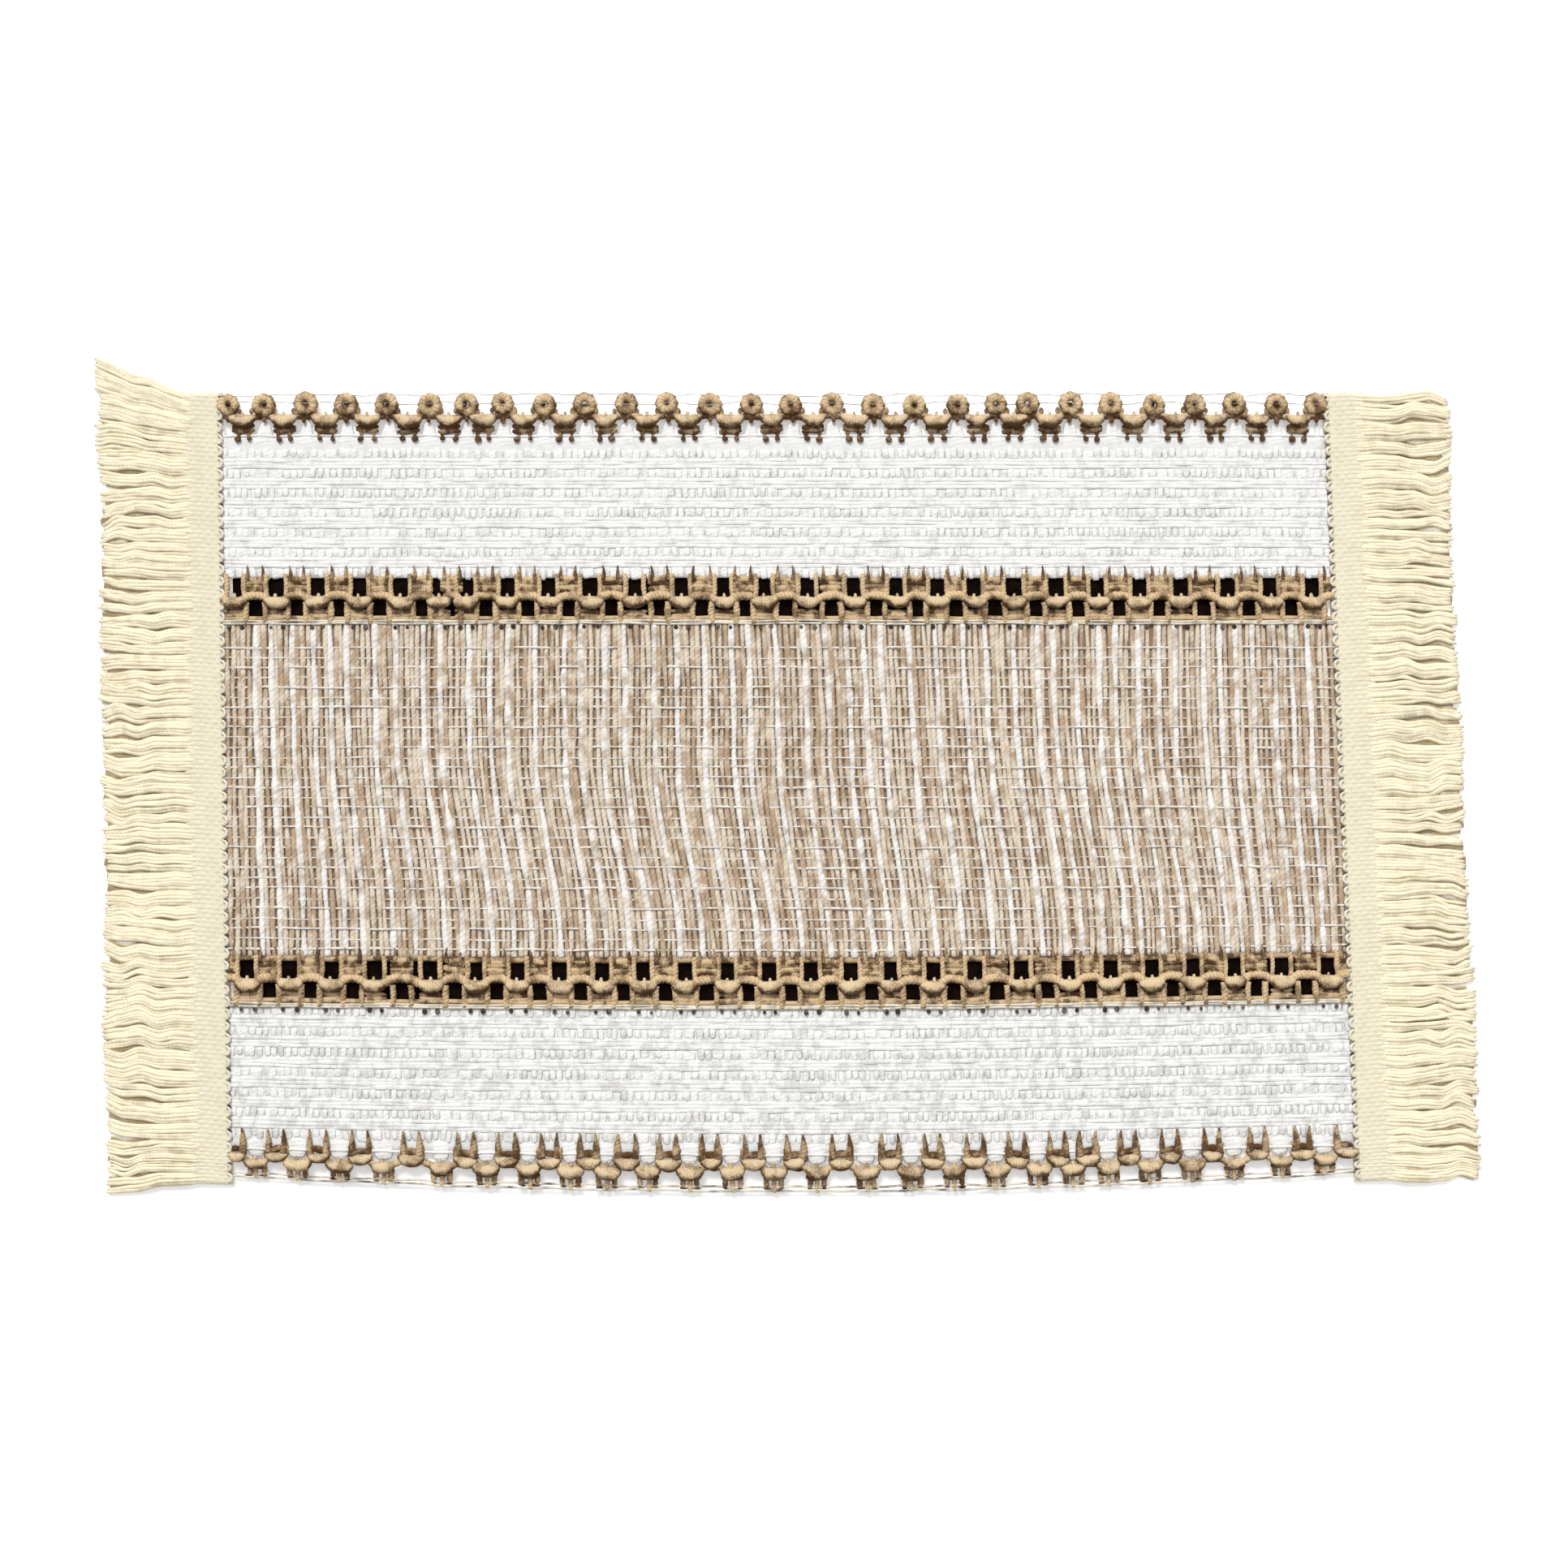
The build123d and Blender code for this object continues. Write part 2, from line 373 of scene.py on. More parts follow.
    def build(self, name: str, lie: FloorLie) -> bpy.types.Object:
        """Makes the mesh object, with its yarn map and tone attribute.

        Args:
            name: the piece's name.
            lie: how the mat lies.

        Returns:
            The new object, at the origin.
        """
        points = lie.lay(np.concatenate(self.points))
        quads = np.concatenate(self.quads)
        caps = [loop for block in self.caps for loop in block]
        corners = np.concatenate([quads.reshape(-1)] + caps)
        sizes = np.array([4] * len(quads) + [len(loop) for loop in caps])
        starts = np.concatenate(([0], np.cumsum(sizes)[:-1]))
        mesh = bpy.data.meshes.new(name)
        for part, count, key, values in (
            (mesh.vertices, len(points), "co", points.astype(np.float32).reshape(-1)),
            (mesh.loops, len(corners), "vertex_index", corners.astype(np.int32)),
            (mesh.polygons, len(sizes), "loop_start", starts.astype(np.int32)),
        ):
            part.add(count)
            part.foreach_set(key, values)
        mesh.polygons.foreach_set("use_smooth", np.ones(len(sizes), bool))
        mesh.update(calc_edges=True)
        yarn_map = mesh.uv_layers.new(name="yarn")
        places = np.zeros((len(corners), 2), np.float32)
        places[: 4 * len(quads)] = np.concatenate(self.maps)
        yarn_map.uv.foreach_set("vector", places.reshape(-1))
        tone = mesh.attributes.new("tone", "FLOAT", "POINT")
        tone.data.foreach_set("value", np.clip(np.concatenate(self.tones), 0, 1).astype(np.float32))
        piece = bpy.data.objects.new(name, mesh)
        bpy.context.scene.collection.objects.link(piece)
        return piece


# ---- finishes -----------------------------------------------------------------------------------------------
class Nodes:
    """Adds and links shader nodes in one tree."""

    def __init__(self, tree: bpy.types.NodeTree) -> None:
        """Keeps the tree that the nodes go into."""
        self.tree = tree

    def feed(self, socket: bpy.types.NodeSocket, value: object) -> None:
        """Links a socket into an input, or sets a plain value on it.

        Args:
            socket: the input.
            value: a socket to link, or a plain value.
        """
        if isinstance(value, bpy.types.NodeSocket):
            self.tree.links.new(value, socket)
        else:
            socket.default_value = value

    def add(self, kind: str, feeds: dict[str | int, object] | None = None, **settings: object) -> bpy.types.Node:
        """Adds a node and feeds its inputs.

        Args:
            kind: the node's type, less its ShaderNode prefix.
            feeds: what goes into each input, by its name or number.
            settings: attributes to set on the node.

        Returns:
            The node.
        """
        node = self.tree.nodes.new(kind if kind.startswith("Node") else "ShaderNode" + kind)
        for key, value in settings.items():
            setattr(node, key, value)
        for key, value in (feeds or {}).items():
            self.feed(node.inputs[key], value)
        return node

    def maths(self, operation: str, *values: object) -> bpy.types.NodeSocket:
        """A Math node's result for these values."""
        return self.add("Math", dict(enumerate(values)), operation=operation).outputs[0]

    def blend(self, share: object, low: object, high: object) -> bpy.types.NodeSocket:
        """A colour that goes from low to high as share goes from 0 to 1."""
        low, high = ((*tone, 1.0) if isinstance(tone, tuple) else tone for tone in (low, high))
        return self.add("Mix", {"Factor": share, 6: low, 7: high}, data_type="RGBA").outputs[2]

    def spread(self, value: object, low: float, high: float, to_low: float, to_high: float) -> bpy.types.NodeSocket:
        """Maps a value from one range to another, smoothly and held at the ends."""
        feeds = dict(enumerate((value, low, high, to_low, to_high)))
        return self.add("MapRange", feeds, interpolation_type="SMOOTHSTEP").outputs[0]


def new_group(name: str, inputs: dict[str, str], outputs: tuple[str, ...]) -> tuple[Nodes, object, object]:
    """Makes an empty shader node group.

    Args:
        name: the group's name.
        inputs: socket names and their kinds, Vector or Float.
        outputs: names of the float sockets that it puts out.

    Returns:
        A Nodes for the group, the sockets that bring its inputs, and the sockets that take its outputs.
    """
    tree = bpy.data.node_groups.new(name, "ShaderNodeTree")
    for label, kind in inputs.items():
        tree.interface.new_socket(label, in_out="INPUT", socket_type=f"NodeSocket{kind}")
    for label in outputs:
        tree.interface.new_socket(label, in_out="OUTPUT", socket_type="NodeSocketFloat")
    nodes = Nodes(tree)
    return nodes, nodes.add("NodeGroupInput").outputs, nodes.add("NodeGroupOutput").inputs


def twist_group() -> bpy.types.NodeTree:
    """Twisted plies: height is the size of the sine of half a turn per ply, along u / Pitch + Plies v.

    Returns:
        The group, with Height and Groove from 0 to 1.
    """
    sockets = {"Map": "Vector", "Pitch": "Float", "Plies": "Float"}
    nodes, given, out = new_group("yarn_twist", sockets, ("Height", "Groove"))
    u, v, _ = nodes.add("SeparateXYZ", {0: given["Map"]}).outputs
    along = nodes.maths("DIVIDE", u, given["Pitch"])
    around = nodes.maths("MULTIPLY", v, given["Plies"])
    phase = nodes.maths("MULTIPLY", nodes.maths("ADD", along, around), math.pi)
    height = nodes.maths("ABSOLUTE", nodes.maths("SINE", phase))
    nodes.feed(out["Height"], height)
    nodes.feed(out["Groove"], nodes.spread(height, 0.0, 0.45, 1.0, 0.0))
    return nodes.tree


def fibre_group() -> bpy.types.NodeTree:
    """Loose fibre: fine noise drawn out along the yarn's map, and broad mottling in the mat's own place.

    Returns:
        The group, with Fine and Broad from 0 to 1.
    """
    sockets = {"Map": "Vector", "Place": "Vector", "Grain": "Float"}
    nodes, given, out = new_group("fibre", sockets, ("Fine", "Broad"))
    drawn_out = nodes.add("VectorMath", {0: given["Map"], 1: (0.25, 6.0, 1.0)}, operation="MULTIPLY").outputs[0]
    for label, vector, scale, low in (("Fine", drawn_out, given["Grain"], 0.3),
                                      ("Broad", given["Place"], 160.0, 0.33)):
        noise = nodes.add("TexNoise", {"Vector": vector, "Scale": scale, "Detail": 3.0}).outputs[0]
        nodes.feed(out[label], nodes.spread(noise, low, 1 - low, 0.0, 1.0))
    return nodes.tree


def weave_group() -> bpy.types.NodeTree:
    """Plain weave: two crossed sines in the cloth's own plane, each over the other in turn.

    Returns:
        The group, with Height and Gap from 0 to 1.
    """
    nodes, given, out = new_group("plain_weave", {"Place": "Vector", "Pitch": "Float"}, ("Height", "Gap"))
    axes = nodes.add("SeparateXYZ", {0: given["Place"]}).outputs
    half_turn = nodes.maths("DIVIDE", math.pi, given["Pitch"])
    waves = [nodes.maths("SINE", nodes.maths("MULTIPLY", axes[number], half_turn)) for number in (0, 1)]
    ridges = [nodes.maths("ABSOLUTE", wave) for wave in waves]
    over = nodes.spread(nodes.maths("MULTIPLY", *waves), -0.2, 0.2, 0.0, 1.0)
    lift = nodes.maths("MULTIPLY", nodes.maths("SUBTRACT", *ridges), over)
    nodes.feed(out["Height"], nodes.maths("ADD", ridges[1], lift))
    nodes.feed(out["Gap"], nodes.spread(nodes.maths("MINIMUM", *ridges), 0.0, 0.35, 1.0, 0.0))
    return nodes.tree


@dataclass(frozen=True)
class YarnFinish:
    """A twisted or slub yarn, or a cloth of it: two tones with painted shade in the grooves, fibre and sheen."""

    name: str
    slot: str
    low: Colour
    high: Colour
    # The colour of the painted shade in the grooves, and how much of it they take.
    groove: Colour
    groove_share: float = 0.5
    mottle_share: float = 0.18
    twist_pitch: float = 3.0
    plies: int = 2
    weave_pitch: float = 0.0
    bump: float = 0.4
    bump_depth: float = 0.0006
    grain: float = 3.0
    roughness: float = 0.9
    sheen: float = 0.25
    specular: float = 0.2

    def material(self, groups: dict[str, bpy.types.NodeTree]) -> bpy.types.Material:
        """Builds the material.

        The tone attribute goes from low to high; fibre noise shifts it both ways; the grooves of the twist
        or weave draw it towards the groove colour, a painted shade, and give the bump its height.

        Args:
            groups: the shared node groups by name.

        Returns:
            The material.
        """
        material = bpy.data.materials.new(self.name)
        material.use_nodes = True
        nodes, shader = Nodes(material.node_tree), material.node_tree.nodes["Principled BSDF"]
        yarn_map = nodes.add("UVMap", uv_map="yarn").outputs[0]
        place = nodes.add("TexCoord").outputs["Object"]
        tone = nodes.add("Attribute", attribute_name="tone").outputs["Fac"]
        fibre = {"Map": yarn_map, "Place": place, "Grain": self.grain}
        fine, broad = nodes.add("Group", fibre, node_tree=groups["fibre"]).outputs
        if self.weave_pitch:
            pattern, feeds = "plain_weave", {"Place": place, "Pitch": self.weave_pitch * MM}
        else:
            pattern, feeds = "yarn_twist", {"Map": yarn_map, "Pitch": self.twist_pitch, "Plies": float(self.plies)}
        height, groove = nodes.add("Group", feeds, node_tree=groups[pattern]).outputs
        mottle = nodes.spread(broad, 0.0, 1.0, -self.mottle_share, self.mottle_share)
        flecks = nodes.spread(fine, 0.0, 1.0, -self.mottle_share / 2, self.mottle_share / 2)
        share = nodes.maths("ADD", nodes.maths("ADD", tone, mottle), flecks)
        colour = nodes.blend(nodes.spread(share, 0.0, 1.0, 0.0, 1.0), self.low, self.high)
        # Painted shade: the grooves of the twist or weave darken towards the groove colour.
        groove_shade = nodes.maths("MULTIPLY", groove, self.groove_share)
        height = nodes.maths("ADD", height, nodes.maths("MULTIPLY", fine, 0.5))
        bump = nodes.add("Bump", {"Strength": self.bump, "Distance": self.bump_depth, "Height": height})
        for label, value in {
            "Base Color": nodes.blend(groove_shade, colour, self.groove),
            "Roughness": nodes.spread(fine, 0.0, 1.0, self.roughness - 0.08, self.roughness + 0.06),
            "Normal": bump.outputs[0],
            "Sheen Weight": self.sheen,
            "Sheen Roughness": 0.5,
            "Specular IOR Level": self.specular,
        }.items():
            nodes.feed(shader.inputs[label], value)
        return material


FINISHES = {finish.name: finish for finish in (
    YarnFinish("white_cotton", "white_cotton", (0.54, 0.53, 0.50), (0.78, 0.775, 0.76), (0.56, 0.55, 0.52),
               groove_share=0.08, mottle_share=0.3, twist_pitch=2.6, bump=0.25),
    YarnFinish("white_ground", "white_cotton", (0.50, 0.49, 0.46), (0.76, 0.755, 0.735), (0.52, 0.51, 0.48),
               groove_share=0.25, weave_pitch=1.5, bump=0.25),
    YarnFinish("slub_tan", "slub_cloth", (0.43, 0.31, 0.205), (0.68, 0.59, 0.475), (0.28, 0.18, 0.11),
               groove_share=0.15, mottle_share=0.28, twist_pitch=3.4, sheen=0.12),
    YarnFinish("slub_white", "slub_cloth", (0.50, 0.42, 0.345), (0.79, 0.765, 0.725), (0.50, 0.42, 0.34),
               groove_share=0.1, mottle_share=0.26, twist_pitch=3.8),
    YarnFinish("slub_ground", "slub_cloth", (0.27, 0.17, 0.10), (0.50, 0.375, 0.265), (0.18, 0.105, 0.06),
               groove_share=0.4, weave_pitch=1.3, sheen=0.05),
    YarnFinish("cord_brown", "brown_cord", (0.085, 0.038, 0.012), (0.66, 0.485, 0.285), (0.17, 0.09, 0.034),
               groove_share=0.4, mottle_share=0.22, twist_pitch=2.4, bump=0.6, sheen=0.06),
    YarnFinish("knot_brown", "brown_knot", (0.085, 0.036, 0.011), (0.70, 0.54, 0.335), (0.20, 0.11, 0.045),
               groove_share=0.3, mottle_share=0.22, twist_pitch=1.6, plies=1, bump=0.6, sheen=0.06),
    YarnFinish("fill_brown", "brown_fill", (0.060, 0.027, 0.009), (0.62, 0.45, 0.265), (0.08, 0.037, 0.014),
               groove_share=0.45, mottle_share=0.3, twist_pitch=1.8, sheen=0.06),
    YarnFinish("cream_thread", "cream_thread", (0.030, 0.016, 0.008), (0.78, 0.72, 0.60), (0.40, 0.31, 0.21),
               groove_share=0.2, twist_pitch=1.8),
    YarnFinish("cream_tape", "cream_tape", (0.60, 0.52, 0.35), (0.88, 0.82, 0.62), (0.60, 0.52, 0.35),
               groove_share=0.25, mottle_share=0.12, weave_pitch=1.5, bump=0.5),
    YarnFinish("cream_fringe", "cream_fringe", (0.30, 0.22, 0.115), (0.87, 0.79, 0.58), (0.56, 0.47, 0.30),
               groove_share=0.12, mottle_share=0.1, twist_pitch=2.6, bump=0.3),
    YarnFinish("backing_rubber", "backing_rubber", (0.0025, 0.001, 0.0006), (0.012, 0.006, 0.004),
               (0.002, 0.001, 0.0005), groove_share=0.6, weave_pitch=1.1, roughness=0.85, sheen=0.0,
               specular=0.03),
    YarnFinish("grip_rubber", "backing_rubber", (0.020, 0.017, 0.015), (0.085, 0.075, 0.066),
               (0.02, 0.017, 0.015), groove_share=0.1, weave_pitch=1.1, roughness=0.75, sheen=0.0,
               specular=0.3),
)}


@dataclass
class Dresser:
    """Turns a SoftMesh into a finished piece: its material, its body and what it replaces."""

    lie: FloorLie
    materials: dict[str, bpy.types.Material]

    @classmethod
    def with_finishes(cls, lie: FloorLie) -> "Dresser":
        """Builds the shared node groups and every material.

        Args:
            lie: how the mat lies.

        Returns:
            The dresser.
        """
        groups = {"yarn_twist": twist_group(), "fibre": fibre_group(), "plain_weave": weave_group()}
        return cls(lie, {key: finish.material(groups) for key, finish in FINISHES.items()})

    def piece(self, mesh: SoftMesh, name: str, finish: str, replaces: str = "", body: str = "mat",
              slot: str = "") -> bpy.types.Object:
        """Finishes one piece.

        Args:
            mesh: its surfaces.
            name: its name.
            finish: the key of its material.
            replaces: the CAD node that it stands for, if any.
            body: the body that it rides on, or an empty string to leave that to a blend.
            slot: the record's material slot, where that is not the finish's own; it is not used.

        Returns:
            The piece.
        """
        made = mesh.build(name, self.lie)
        made.data.materials.append(self.materials[finish])
        if body:
            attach(made, body)
        if replaces:
            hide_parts(replaces)
        LOG.info("%s: %d faces", name, len(made.data.polygons))
        return made


# ---- sub-assemblies -----------------------------------------------------------------------------------------
def grid(x_low: float, x_high: float, y_low: float, y_high: float, step_x: float, step_y: float) -> tuple:
    """An even grid of places between two corners.

    Args:
        x_low: the first column.
        x_high: the last column.
        y_low: the first row.
        y_high: the last row.
        step_x: the largest gap between columns.
        step_y: the largest gap between rows.

    Returns:
        x and y, each (rows, columns).
    """
    columns = math.ceil((x_high - x_low) / step_x) + 1
    rows = math.ceil((y_high - y_low) / step_y) + 1
    return tuple(np.meshgrid(np.linspace(x_low, x_high, columns), np.linspace(y_low, y_high, rows)))


def line_paths(x: Array | float, y: Array | float, z: Array | float) -> Array:
    """Stacks x, y and z, which broadcast together, into (strands, count, 3) paths."""
    return np.stack(np.broadcast_arrays(*(np.atleast_2d(axis) for axis in (x, y, z))), axis=-1).astype(float)


@dataclass
class Backing:
    """The thin dark non-slip sheet under the woven body, with moulded grip dots beneath."""

    plan: MatPlan
    sheet_bottom: float = 0.5
    side_inset: float = 6.0
    dot_pitch: float = 11.0
    dot_radius: float = 2.6

    def build(self, dresser: Dresser) -> bpy.types.Object:
        """Makes the sheet and its dots.

        Each dot is an upright stub under the sheet: three rings that narrow towards the floor.

        Args:
            dresser: finishes the piece.

        Returns:
            The sheet, with the dots on it.
        """
        half = self.plan.half_width - self.side_inset
        edge = self.plan.band_edge
        x, y = grid(-half, half, -edge, edge, 12.0, 12.0)
        mesh = SoftMesh()
        mesh.sheet(x, y, self.plan.cloth_bottom, self.sheet_bottom, tone=0.5)
        sheet = dresser.piece(mesh, "nonslip_sheet", "backing_rubber", "nonslip_backing")
        across, along = np.meshgrid(*(np.arange(12 - reach, reach - 8, self.dot_pitch) for reach in (half, edge)))
        middle_x, middle_y, angle = across.reshape(-1, 1), along.reshape(-1, 1), full_turn(8)
        rings = []
        for share, height in ((1.0, self.sheet_bottom + 0.1), (0.85, 0.2), (0.45, 0.02)):
            radius = share * self.dot_radius
            rings.append(line_paths(middle_x + radius * np.cos(angle), middle_y + radius * np.sin(angle), height))
        points = np.stack(rings, axis=1)
        number = np.arange(points.size // 3).reshape(len(middle_x), len(rings), len(angle))
        around = np.roll(number, -1, axis=2)
        quads = np.stack((number[:, :-1], number[:, 1:], around[:, 1:], around[:, :-1]), -1).reshape(-1, 4)
        dots = SoftMesh(points=[points.reshape(-1, 3)], quads=[quads], total=points.size // 3)
        dots.caps = [number[:, 0, :], number[:, -1, ::-1]]
        dots.maps = [points.reshape(-1, 3)[quads.reshape(-1), :2]]
        dots.tones = [np.full(points.size // 3, 0.8)]
        grip = dresser.piece(dots, "nonslip_dots", "grip_rubber")
        return sheet


@dataclass
class CentrePanel:
    """Slub yarns along Y over a darker ground cloth, tied down by fine pale threads along X."""

    plan: MatPlan
    yarn_pitch: float = 3.5
    thread_pitch: float = 12.5
    yarn_height: float = 3.5
    lean: float = 12.0
    points_along: int = 100

    def yarn_paths(self, rng: np.random.Generator, threads: Array) -> tuple[Array, Array]:
        """Routes every slub yarn.

        A yarn starts straight, drifts towards +X in front of the middle by the lean times
        (1 - (x / half width) to the fourth), wobbles a little by itself, and rises over or dips under each
        thread.

        Args:
            rng: the source of randomness.
            threads: the places of the threads along Y.

        Returns:
            The paths, and the kind of each yarn: 0 tan, 1 pale, 2 white.
        """
        plan = self.plan
        count = int(2 * plan.half_width / self.yarn_pitch)
        start = (np.arange(count) + 0.5) / count * 2 - 1
        start = start * (plan.half_width - 1.5) + rng.uniform(-0.6, 0.6, count)
        y = np.linspace(-plan.centre_edge + 0.4, plan.centre_edge - 0.4, self.points_along)
        forward = ease((25 - y) / 125)
        window = 1 - (start[:, None] / plan.half_width) ** 4
        sway = 0.9 * np.sin(start[:, None] / 67 + y / 31) * window
        x = start[:, None] + self.lean * window * forward - self.lean * 0.3 * window + sway
        x = x + 0.6 * soft_noise(rng, count, len(y), 10)
        over = np.where(rng.random((count, len(threads))) < 0.55, 1.0, -1.0)
        nearness = np.exp(-(((y - threads[:, None]) / 2.3) ** 2))
        z = self.yarn_height + 0.7 * over @ nearness
        kind = rng.choice(2, count, p=(0.55, 0.45))
        white = np.cumsum(rng.integers(3, 6, count))
        kind[white[white < count]] = 2
        return line_paths(x, y, z), kind

    def build(self, dresser: Dresser) -> bpy.types.Object:
        """Makes the ground cloth, all three kinds of yarn and the threads.

        Args:
            dresser: finishes the pieces.

        Returns:
            The ground cloth, with the yarns on it.
        """
        plan, rng = self.plan, np.random.default_rng(11)
        x, y = grid(-plan.half_width, plan.half_width, -plan.centre_edge, plan.centre_edge, 9.0, 9.0)
        ground_mesh = SoftMesh()
        ground_mesh.sheet(x, y, plan.cloth_bottom + 1.3, plan.cloth_bottom + 0.02, tone=0.4)
        ground = dresser.piece(ground_mesh, "centre_ground", "slub_ground", "centre_panel")
        threads = np.arange(-plan.centre_edge + 5, plan.centre_edge - 4, self.thread_pitch)
        paths, kind = self.yarn_paths(rng, threads)
        for number, name, finish, wide, high, tone in (
            (0, "centre_tan_yarns", "slub_tan", 1.65, 0.95, 0.40),
            (1, "centre_pale_yarns", "slub_tan", 1.60, 1.10, 0.84),
            (2, "centre_white_yarns", "slub_white", 2.15, 1.40, 0.78),
        ):
            rows = paths[kind == number]
            slub = 1 + 0.3 * soft_noise(rng, len(rows), self.points_along, 18)
            own = rng.uniform(-0.15, 0.15, (len(rows), 1))
            tones = tone + own + 0.42 * soft_noise(rng, len(rows), self.points_along, 30)
            mesh = SoftMesh()
            mesh.tubes(rows, wide * slub, high * slub, tone=tones[..., None], sides=6)
            dresser.piece(mesh, name, finish)
        x = np.linspace(-plan.half_width + 0.5, plan.half_width - 0.5, 320)
        rows = np.concatenate((threads, threads[:-1] + self.thread_pitch * 0.47))
        wander = 0.6 * soft_noise(rng, len(rows), len(x), 30)
        height = self.yarn_height + 0.6 + 0.85 * soft_noise(rng, len(rows), len(x), 75)
        size = 0.62 + 0.2 * soft_noise(rng, len(rows), len(x), 60)
        size[len(threads):] *= 0.75
        height[len(threads):] -= 0.35
        mesh = SoftMesh()
        mesh.tubes(line_paths(x, rows[:, None] + wander, height), size, size * 0.8, tone=0.7, sides=6)
        dresser.piece(mesh, "centre_tie_threads", "slub_white", slot="cream_thread")
        return ground


@dataclass
class WhiteBand:
    """White cotton: groups of flat yarns along X between rows of short upright stitches, and a toothed edge."""

    plan: MatPlan
    row: Row
    drift: RowDrift
    group_pitch: float = 12.5
    yarn_pitch: float = 2.15
    groups: int = 6
    yarns_per_group: int = 3
    stitches_per_repeat: int = 6
    yarn_height: float = 3.3
    hem: float = 7.0
    turn_in: float = 1.4

    @property
    def tone(self) -> float:
        """Cotton tone: the front band is a shade deeper than the rear one."""
        return 0.88 if self.row is Row.REAR else 0.70

    def teeth(self, mesh: SoftMesh, rng: np.random.Generator) -> None:
        """Adds the tapering tongues of cloth that run out between the lace legs.

        Args:
            mesh: gathers the surfaces.
            rng: the source of randomness.
        """
        side = self.row.value
        places = self.drift.between if self.row is Row.REAR else self.drift.on_repeat
        base, tip, reach = (8.2, 2.6, 16.0) if self.row is Row.REAR else (7.6, 4.8, 12.5)
        share = np.linspace(0, 1, 9)
        y = side * (self.plan.band_edge - 3 + (reach + 3) * share)
        lean = rng.uniform(-1.6, 1.6, (len(places), 1)) * share**2
        rise = self.yarn_height - 0.3 - 0.8 * share**2 - 1.5 * np.clip(1 - share / 0.3, 0, 1)
        paths = line_paths(places[:, None] + lean, y, rise)
        half = (base + (tip - base) * share**0.8) * (1 - 0.65 * np.clip((share - 0.86) / 0.14, 0, 1))
        grow = rng.uniform(0.9, 1.1, (len(places), 1)) + 0.07 * soft_noise(rng, len(places), len(share), 6)
        grow = grow * np.where(np.abs(places) > self.plan.half_width - 6, 0.4, 1.0)[:, None]
        mesh.tubes(paths, half * grow, 1.2 * (1 - 0.5 * share), tone=0.97, sides=10)
        x = np.linspace(-self.plan.half_width + 0.5, self.plan.half_width - 0.5, 240)
        hem_y = side * (self.plan.band_edge + self.hem - 0.6) + 0.4 * soft_noise(rng, 1, len(x), 60)
        mesh.tubes(line_paths(x, hem_y, self.yarn_height - 0.1), 0.9, 0.9, tone=0.9, sides=6)

    def yarns(self, mesh: SoftMesh, low: float, rng: np.random.Generator) -> None:
        """Adds the groups of flat yarns along X, with faint darker columns of painted shade where the stitches pull
        them down.

        Args:
            mesh: gathers the surfaces.
            low: where the band starts along Y.
            rng: the source of randomness.
        """
        half = self.plan.half_width
        x = np.linspace(-half + 0.5, half - 0.5, 480)
        first = low + 7.4 + self.group_pitch * np.arange(self.groups)
        rows = (first[:, None] + self.yarn_pitch * np.arange(self.yarns_per_group)).ravel()
        wander = 0.35 * soft_noise(rng, len(rows), len(x), 34)
        thick = 1 + 0.2 * soft_noise(rng, len(rows), len(x), 90)
        lift = 0.22 * soft_noise(rng, len(rows), len(x), 60)
        # Painted shade: the yarns are darker in line with each column of stitches.
        columns = 0.1 * np.cos(2 * math.pi * x / self.plan.repeat * self.stitches_per_repeat)
        tones = self.tone + 0.02 + 0.16 * soft_noise(rng, len(rows), len(x), 80) + columns
        paths = line_paths(x, rows[:, None] + wander, self.yarn_height + lift)
        mesh.tubes(paths, 1.5 * thick, 0.5 * thick, tone=tones[..., None], sides=6)

    def stitches(self, mesh: SoftMesh, low: float, rng: np.random.Generator) -> None:
        """Adds the rows of upright stitches, which close up into plain cloth here and there.

        Args:
            mesh: gathers the surfaces.
            low: where the band starts along Y.
            rng: the source of randomness.
        """
        rows = low + 3.2 + self.group_pitch * np.arange(self.groups + 1)
        per_row = self.stitches_per_repeat * self.plan.repeats
        pitch = self.plan.repeat / self.stitches_per_repeat
        place = (np.arange(per_row) - (per_row - 1) / 2) * pitch
        x = np.tile(place, len(rows)) + rng.uniform(-0.9, 0.9, per_row * len(rows))
        y = np.repeat(rows, per_row) + rng.uniform(-0.8, 0.8, len(x))
        shut = np.clip(0.6 + 1.3 * soft_noise(rng, len(rows), per_row, 26).reshape(-1), 0, 1)[:, None]
        share = np.linspace(-1, 1, 6)
        dome = np.sqrt(1 - 0.9 * share**4)
        lean = rng.uniform(-0.5, 0.5, (len(x), 1))
        length = 3.3 + rng.uniform(-0.6, 0.9, (len(x), 1))
        height = self.yarn_height - 0.25 + 0.34 * (1 - share**2) * (1 - 0.5 * shut)
        wide = (1.95 + 0.7 * shut + rng.uniform(-0.2, 0.2, (len(x), 1))) * (0.6 + 0.4 * dome)
        deep = (0.72 - 0.2 * shut) * dome
        tone = self.tone + 0.16 * rng.uniform(-1, 1, (len(x), 1, 1))
        paths = line_paths(x[:, None] + lean * share, y[:, None] + length * share, height)
        mesh.tubes(paths, wide, deep, tone=tone, sides=6)

